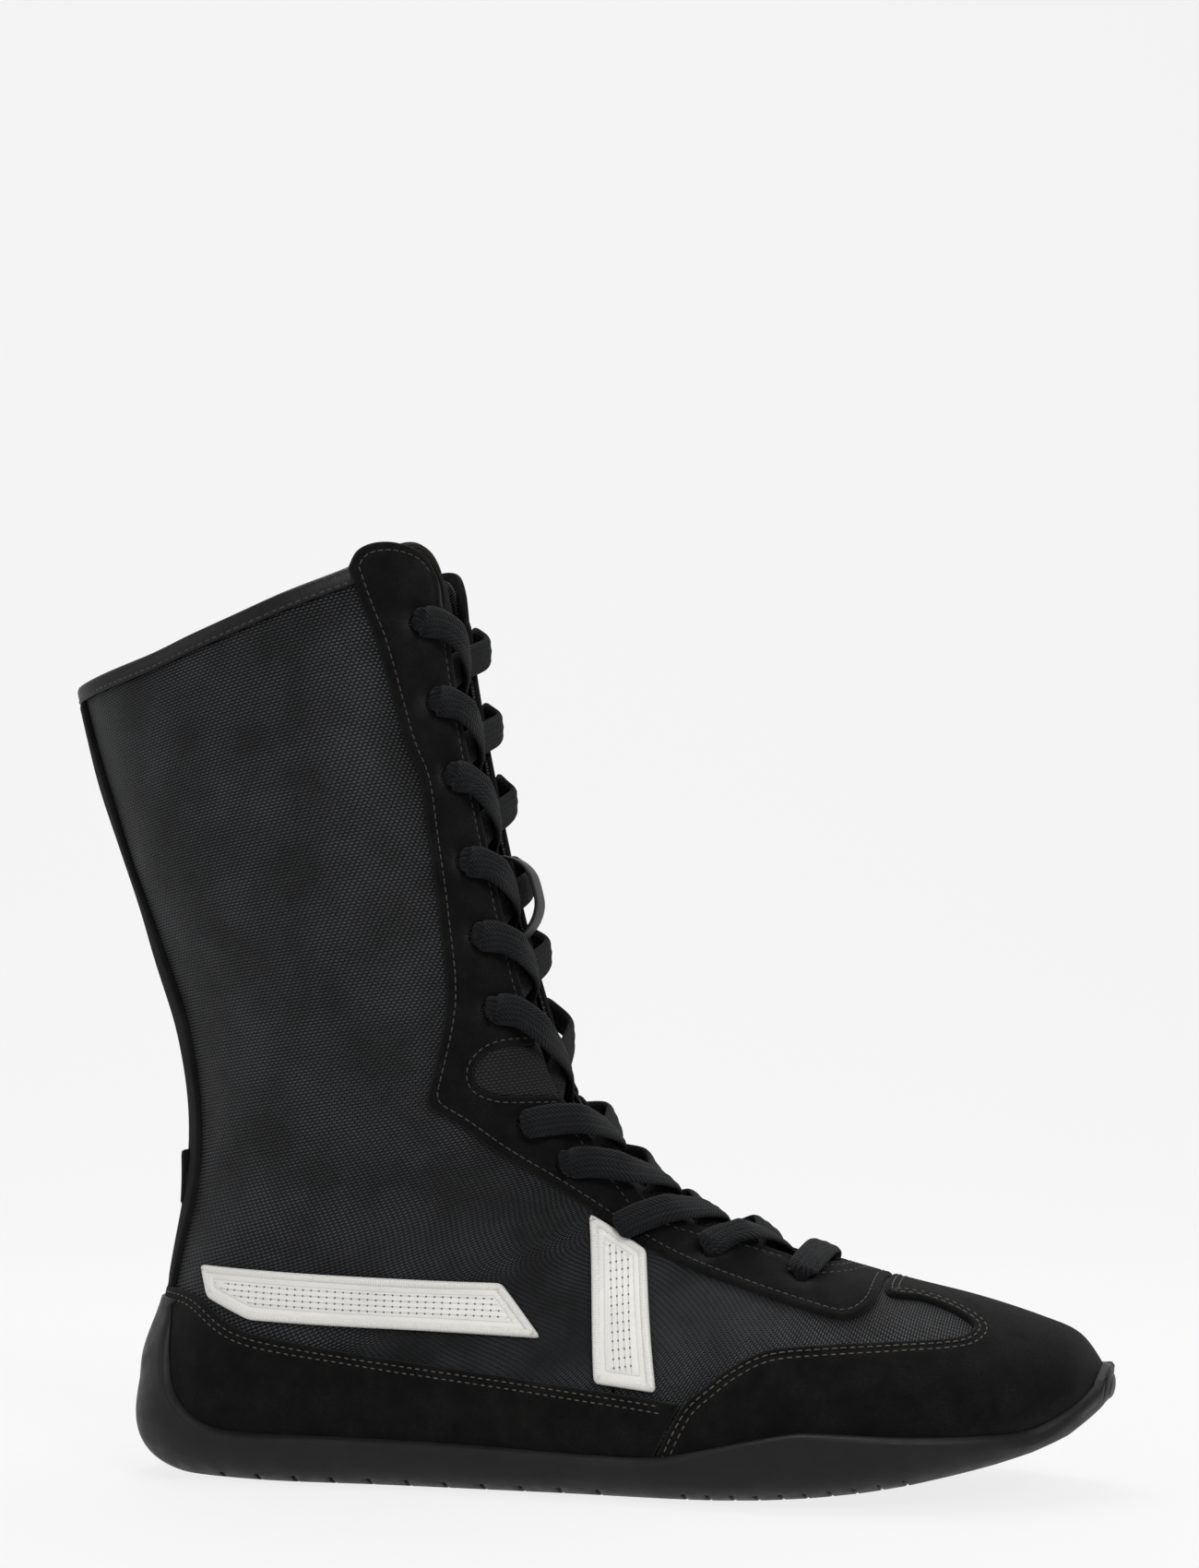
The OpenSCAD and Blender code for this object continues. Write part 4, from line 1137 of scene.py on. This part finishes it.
def make_binding():
    """The collar's folded edge, swept from the eyestay round the back to the other eyestay."""
    sides = {}
    for which, _ in SIDES:
        line = from_side(COLLAR, which)
        sides[which] = line[(on_tube(*line.T)[:, 0] < FOLD_FRONT) & (np.abs(line[:, 1]) < 0.999)]
    heel = np.array([[back_u(COLLAR[0, 1]), 1.0]])
    line = even(np.vstack([sides[MEDIAL][::-1], heel, sides[LATERAL] + np.array([0, 2])]), 1.6)
    inner, outer = LINING_PLY[0] - 0.1, 0.1
    deep = FOLD_DEPTH
    profile = [(deep, outer), (deep, outer + 0.9), (deep - 0.4, outer + 1.15), (3.2, outer + 1.15),
               (1.2, outer + 1.1), (0.4, outer + 0.7), (0.0, -0.3), (0.0, -2.6), (0.4, inner - 0.6),
               (1.2, inner - 1.0), (3.2, inner - 1.05), (deep, inner - 1.0), (deep, inner),
               (1.4, inner), (1.1, -1.6), (1.4, outer)]
    down = -1.0 if moved_in(line) else 1.0
    ring = np.stack([at(*moved(line, down * depth).T, h) for depth, h in profile], 1)
    size, n = len(profile), len(line)
    place = cloth_place(*line.T)
    thing = make_object("collar_fold", ring.reshape(-1, 3), swept_faces(n, size), BINDING,
                        {"cloth": np.repeat(place, size, 0), "edge": np.zeros(n * size)})
    rides(thing, "shaft", "binding", "collar_binding")
    seam = moved(line, down * (FOLD_DEPTH - 1.0))
    rides(stitches("collar_stitches", [seam], outer + 1.08, DARK_THREAD), "shaft", "binding")


def make_linings():
    """One cloth from the collar down to the toe."""
    n_u, n_s = 120, 80
    s = np.linspace(0, 1, n_s)
    tops = {}
    for which in (LATERAL, MEDIAL):
        line = collar_line(-1.2, which)
        order = np.argsort(np.abs(line[:, 1]))
        tops[which] = (np.abs(line[order, 1]), line[order, 0])
    rows = []
    for v in np.linspace(0, 1, n_u):
        guess = tops[MEDIAL][1][0] + (18.6 - tops[MEDIAL][1][0]) * v
        open_half = THROAT_HALF * np.clip((13.2 - guess) / 0.6, 0.002, 1)
        edge = abs(float(q_at(np.array(guess), open_half)))
        q = edge + s * (2 - 2 * edge)
        q_abs = np.abs(wrapped(q))
        top = np.where(q <= 1, np.interp(q_abs, *tops[MEDIAL]), np.interp(q_abs, *tops[LATERAL]))
        rows.append(np.stack([top + (18.6 - top) * v, q], -1))
    grid = np.array(rows)
    u, q = grid[..., 0].ravel(), grid[..., 1].ravel()
    inner, outer = (at(u, q, h) for h in LINING_PLY)
    thing = make_object("lining_cloth", np.vstack([outer, inner]), slab_faces(n_u, n_s), LINING,
                        {"cloth": np.tile(cloth_place(u, q), (2, 1))})
    bends(thing, "lining_fabric", "foot_lining", "shaft_lining")


FOAM_LOW = 118        # height of the shaft padding's lower edge


def make_foam():
    """Padding in the shaft, between the shell and the lining."""
    for which, word in SIDES:
        top = collar_line(-7, which)
        top = top[on_tube(*top.T)[:, 0] < -72]
        rear = np.linspace(top[-1, 0], back_u(FOAM_LOW), 20)[1:]
        back = np.array([[u, which * 0.995] for u in rear])
        low = from_side([(x, FOAM_LOW) for x in np.linspace(-118, -55, 16)], which)
        front = from_side([(x, z) for x, z in zip(np.linspace(-53, -74, 20), np.linspace(130, 236, 20))],
                          which)
        thing = panel("shaft_pad_" + word, np.vstack([top, back, low, front]), *STIFFENER, FOAM,
                      (), 4, 0.3)
        bends(thing, "foam", *(["shaft_foam"] if which == LATERAL else []))


TONGUE_HALF, TONGUE_END = 23, 12.2     # half its width, and the station of its lower end


def make_tongue():
    """A padded tongue with a ribbed edge round its top."""
    top = from_front(TONGUE_TOP - np.array([0, 0.8]), 2, 0, 3)
    side = {w: throat_line(top[k, 0], TONGUE_END, w, 80, TONGUE_HALF)
            for w, k in ((LATERAL, 0), (MEDIAL, -1))}
    outline = np.vstack([top, side[MEDIAL][1:], side[LATERAL][::-1][:-1]])

    def puffed(dist, u, q):
        return 0.35 * np.clip(dist / 8, 0, 1) - 0.5 * np.exp(-(dist - 6) ** 2)

    thing = panel("tongue_pad", outline, *TONGUE_PLY, TONGUE, (), 2.2, 2.2, puffed, (4.5, 6.0, 7.5))
    bends(thing, "lining_fabric", "tongue")
    line = even(from_front(TONGUE_TOP, 2, 0, 3), 1.0)
    low, high = TONGUE_PLY
    centre = at(*moved(line, -1.0 if moved_in(line) else 1.0).T, (low + high) / 2)
    strip = tube_grid("tongue_edge", centre, normal(line[:, 0], line[:, 1]), 2.3, 2.5, RIBBED, 14, 2.4)
    rides(strip, "shaft", "binding", "tongue_binding")


def moved_in(line):
    """True if a step to the line's left goes up the tube."""
    step = moved(line, 1.0)
    return step[:, 0].mean() < line[:, 0].mean()


KEEPER = [(3.70, 0), (3.73, 0.4), (3.80, 0.75), (3.93, 0.96), (4.10, 1), (4.26, 0.96), (4.40, 0.75),
          (4.50, 0.4), (4.54, 0)]
KEEPER_RISE, KEEPER_W = 6.2, 10.0


def make_keeper():
    line = curve(KEEPER, 5)
    foot = TONGUE_PLY[1] + 0.2
    u = line[:, 0]
    centre = at(u, np.zeros(len(u)), foot + (KEEPER_RISE - foot) * line[:, 1])
    out = np.gradient(centre, axis=0)[:, [2, 1, 0]] * np.array([1, 1, -1])
    strip = tube_grid("keeper_strap", centre, out, KEEPER_W / 2, 0.55, BINDING, 12, 4)
    rides(strip, "shaft", "binding", "lace_keeper")


EDGE_ROW = 14.6       # the stitches along the throat, from the mid-plane


def make_stitches():
    """Rows of thread along the suede's edges."""
    edge = np.vstack([EYESTAY_TOP[8:], EYESTAY_BACK[1:], EYESTAY_FRONT[1:]])
    for which, word in SIDES:
        rows = [moved(even(from_side(edge, which), 1.5), -which * 2.4)]
        notch = notch_cut(which)
        rows.append(moved(even(notch, 1.5), which * 2.0))
        rows.append(throat_line(1.35, notch[0, 0] - 0.15, which, 60, EDGE_ROW))
        rows.append(throat_line(notch[-1, 0] + 0.12, END_U, which, 60, EDGE_ROW))
        bends(stitches("eyestay_stitches_" + word, rows, OVERLAY[1] - 0.2, DARK_THREAD), "suede")
        top = from_side(FOXING_EDGE, which)
        top = even(top[on_tube(*top.T)[:, 0] < 27], 1.5)
        wing = even(from_side(TOE_WING[2:], which), 1.5)
        rows = [moved(line, which * d) for line in (top, wing) for d in (1.7, 3.5)]
        rides(stitches("foxing_stitches_" + word, rows, OVERLAY[1] - 0.15, THREAD), "foot", "suede")
    arcs = [even(throat_end(half, 30), 1.0) for half in (EDGE_ROW, EDGE_ROW + 4)]
    rides(stitches("eyestay_front_stitches", arcs, OVERLAY[1] - 0.2, DARK_THREAD), "foot", "suede")


# ---- sole

BOTTOM_EXTRA = 3      # how much thicker the rubber is under the foot than on its side
LIP = 1.8             # radius of the rubber's rolled top edge
HEEL_TOP = 50         # height of the rubber at the back of the heel
THIN_FROM, THIN_BY = 30, 2.0     # the heel's rubber thins from this height up
SOLE_DEPTH = 5        # from the ground to the upper's lowest line
TOE_FROM = 16.5       # station from which the rubber turns up round the toe
GROOVES = [*np.arange(-104, 17, 11), *np.arange(30, 93, 6.5)]
GROOVE_LOW, GROOVE_TOP, GROOVE_RISE, GROOVE_FAR = 0.7, 0.6, 3.0, 70


def soft_max(a, b, r):
    """The larger of two, with a rounded change of radius about r."""
    return (a + b + np.sqrt((a - b) ** 2 + r * r)) / 2


def rubber_edge_q(u, which):
    """q of the rubber's top edge at stations u."""
    line = from_side(RUBBER_EDGE[RUBBER_EDGE[:, 0] > -128], which)
    line = line[np.abs(line[:, 1]) < 0.9995]
    order = np.argsort(line[:, 0])
    u0 = back_u(HEEL_TOP)
    us = np.concatenate([[u0], line[order, 0], [TIP]])
    qs = np.concatenate([[1.0], np.abs(line[order, 1]), [np.abs(line[order[-1], 1])]])
    return np.interp(u, us, qs)


def make_outsole():
    u0 = back_u(HEEL_TOP)
    us = np.concatenate([u0 + (8.4 - u0) * np.linspace(0, 1, 26)[1:] ** 1.5,
                         np.linspace(8.4, 17.4, 150)[1:], np.linspace(17.4, 18.97, 26)[1:]])
    s = np.linspace(0, 1, 120)
    low, high = rubber_edge_q(us, MEDIAL), rubber_edge_q(us, LATERAL)
    q = low[:, None] + (2 - high[:, None] - low[:, None]) * s[None]
    u = np.broadcast_to(us[:, None], q.shape)
    q_abs = np.abs(wrapped(q))
    under = np.clip((q_abs - 0.74) / 0.16, 0, 1)
    under = under * np.clip((u - 8.2) / 1.2, 0, 1) * np.clip((18 - u) / 1.6, 0, 1)
    flat = on_tube(u, q)
    run = np.linalg.norm(np.diff(flat, axis=1), axis=2)
    run = np.concatenate([np.zeros((len(us), 1)), np.cumsum(run, 1)], 1)
    span = np.minimum(run, run[:, -1:] - run)
    lip = 1 - np.sqrt(np.clip(1 - np.clip(1 - span / LIP, 0, 1) ** 2, 0, 1))
    lip = lip * np.clip((18.02 - u) / 0.3, 0, 1)
    thin = np.clip((flat[..., 2] - THIN_FROM) / (HEEL_TOP - THIN_FROM), 0, 1) * (flat[..., 0] < -90)
    h = RUBBER_OUT + BOTTOM_EXTRA * under - THIN_BY * thin * thin * (3 - 2 * thin)
    out = normal(u, q)
    level = out * np.array([1, 1, 0]) + np.minimum(out[..., 2:], 0.05) * np.array([0, 0, 1])
    out = unit(out + (unit(level) - out) * np.clip((u - 16.4) / 1.4, 0, 1)[..., None])
    outer = flat + (h - (h - RUBBER_IN - 0.4) * lip)[..., None] * out
    ground = np.interp(outer[..., 0], *SOLE_LINE.T) - SOLE_DEPTH
    outer[..., 2] = np.maximum(soft_max(outer[..., 2], ground, 1.6), 0.0)
    top = np.interp(outer[..., 0], *RUBBER_EDGE.T)
    under_edge = -soft_max(-outer[..., 2], -top, 0.8)
    outer[..., 2] = np.where(u > TOE_FROM, under_edge, outer[..., 2])
    inner = flat + RUBBER_IN * out
    thing = make_object("rubber_sole", np.vstack([outer.reshape(-1, 3), inner.reshape(-1, 3)]),
                        slab_faces(*q.shape), RUBBER)
    cut_grooves(thing)
    rides(thing, "foot", "sole_rubber", "outsole")


def cut_grooves(thing):
    """Presses the tread's grooves into the bottom."""
    points, faces = [], []
    for x in GROOVES:
        z = float(np.interp(x, *SOLE_LINE.T)) - SOLE_DEPTH
        faces += [tuple(len(points) + k for k in face) for face in swept_faces(2, 4)]
        points += [(x + dx, y, z + dz) for y in (-GROOVE_FAR, GROOVE_FAR)
                   for dx, dz in ((-GROOVE_LOW, -4), (GROOVE_LOW, -4),
                                  (GROOVE_TOP, GROOVE_RISE), (-GROOVE_TOP, GROOVE_RISE))]
    cutter = make_object("groove_cutter", points, faces, RUBBER, smooth=False)
    tool = thing.modifiers.new("grooves", "BOOLEAN")
    tool.operation, tool.object, tool.solver = "DIFFERENCE", cutter, "EXACT"
    depsgraph = bpy.context.evaluated_depsgraph_get()
    cut = bpy.data.meshes.new_from_object(thing.evaluated_get(depsgraph))
    thing.modifiers.clear()
    thing.data = cut
    bpy.data.objects.remove(cutter)


def dress_hidden_nodes():
    """Procedural materials for the CAD nodes that stay."""
    for node, material in (("midsole", FOAM), ("insole_board", BOARD), ("sockliner", LINING),
                           ("heel_counter", BOARD), ("toe_puff", BOARD), ("aglets", AGLET)):
        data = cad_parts[node].data
        data.materials.clear()
        data.materials.append(material)


# ---- stage

FLOOR_COLOUR = 0.08
FLOOR_GLOW = 0.81      # the floor's own light, so that it stays pale and even


def floor_material():
    material = bpy.data.materials.new("pale_floor")
    material.use_nodes = True
    shader = material.node_tree.nodes["Principled BSDF"]
    shader.inputs["Base Color"].default_value = (FLOOR_COLOUR,) * 3 + (1,)
    shader.inputs["Roughness"].default_value = 0.9
    shader.inputs["Specular IOR Level"].default_value = 0.1
    shader.inputs["Emission Color"].default_value = (1, 1, 1, 1)
    shader.inputs["Emission Strength"].default_value = FLOOR_GLOW
    return material


def make_stage():
    """One pale sheet: floor, a wide curve, and the wall behind."""
    size, back, radius, n = 4.0, 1.6, 0.8, 16
    profile = [(-size, 0.0), (back - radius, 0.0)]
    profile += [(back - radius + radius * math.sin(a), radius - radius * math.cos(a))
                for a in np.linspace(0, math.pi / 2, n)[1:]]
    profile += [(back, 3.5)]
    points = [(x / MM, y / MM, z / MM) for y, z in profile for x in (-size, size)]
    faces = [(2 * i, 2 * i + 1, 2 * i + 3, 2 * i + 2) for i in range(len(profile) - 1)]
    sheet = make_object("studio_floor", points, faces, floor_material())
    sheet.rotation_euler = (0, 0, AZIMUTH)


def area_light(name, place, target, size, power):
    data = bpy.data.lights.new(name, "AREA")
    data.shape, data.size, data.energy = "SQUARE", size, power
    lamp = bpy.data.objects.new(name, data)
    lamp.location = place
    lamp.rotation_euler = (Vector(target) - Vector(place)).to_track_quat("-Z", "Y").to_euler()
    bpy.context.collection.objects.link(lamp)


AMBIENT = 0.28     # how bright the surroundings are for the boot
BACKDROP = 0.9     # and for the camera


def make_lights():
    world = bpy.data.worlds.new("studio")
    world.use_nodes = True
    tree = world.node_tree
    background = tree.nodes["Background"]
    background.inputs["Color"].default_value = (1, 1, 1, 1)
    path = tree.nodes.new("ShaderNodeLightPath")
    seen = tree.nodes.new("ShaderNodeMapRange")
    seen.inputs["To Min"].default_value = AMBIENT
    seen.inputs["To Max"].default_value = BACKDROP
    tree.links.new(path.outputs["Is Camera Ray"], seen.inputs["Value"])
    tree.links.new(seen.outputs["Result"], background.inputs["Strength"])
    bpy.context.scene.world = world
    target = (0, 0, 0.12)
    area_light("key", (1.0, -1.2, 1.2), target, 0.8, 22)
    area_light("fill", (-1.2, -1.0, 0.7), target, 1.0, 7)
    area_light("top", (0.0, 0.2, 1.7), target, 1.0, 14)
    area_light("rim", (-0.5, 0.7, 1.7), target, 0.8, 10)


make_camera()
make_stage()
make_lights()
make_lace()
make_shell()
make_suede()
make_white_panels()
make_binding()
make_linings()
make_foam()
make_tongue()
make_keeper()
make_stitches()
make_outsole()
dress_hidden_nodes()
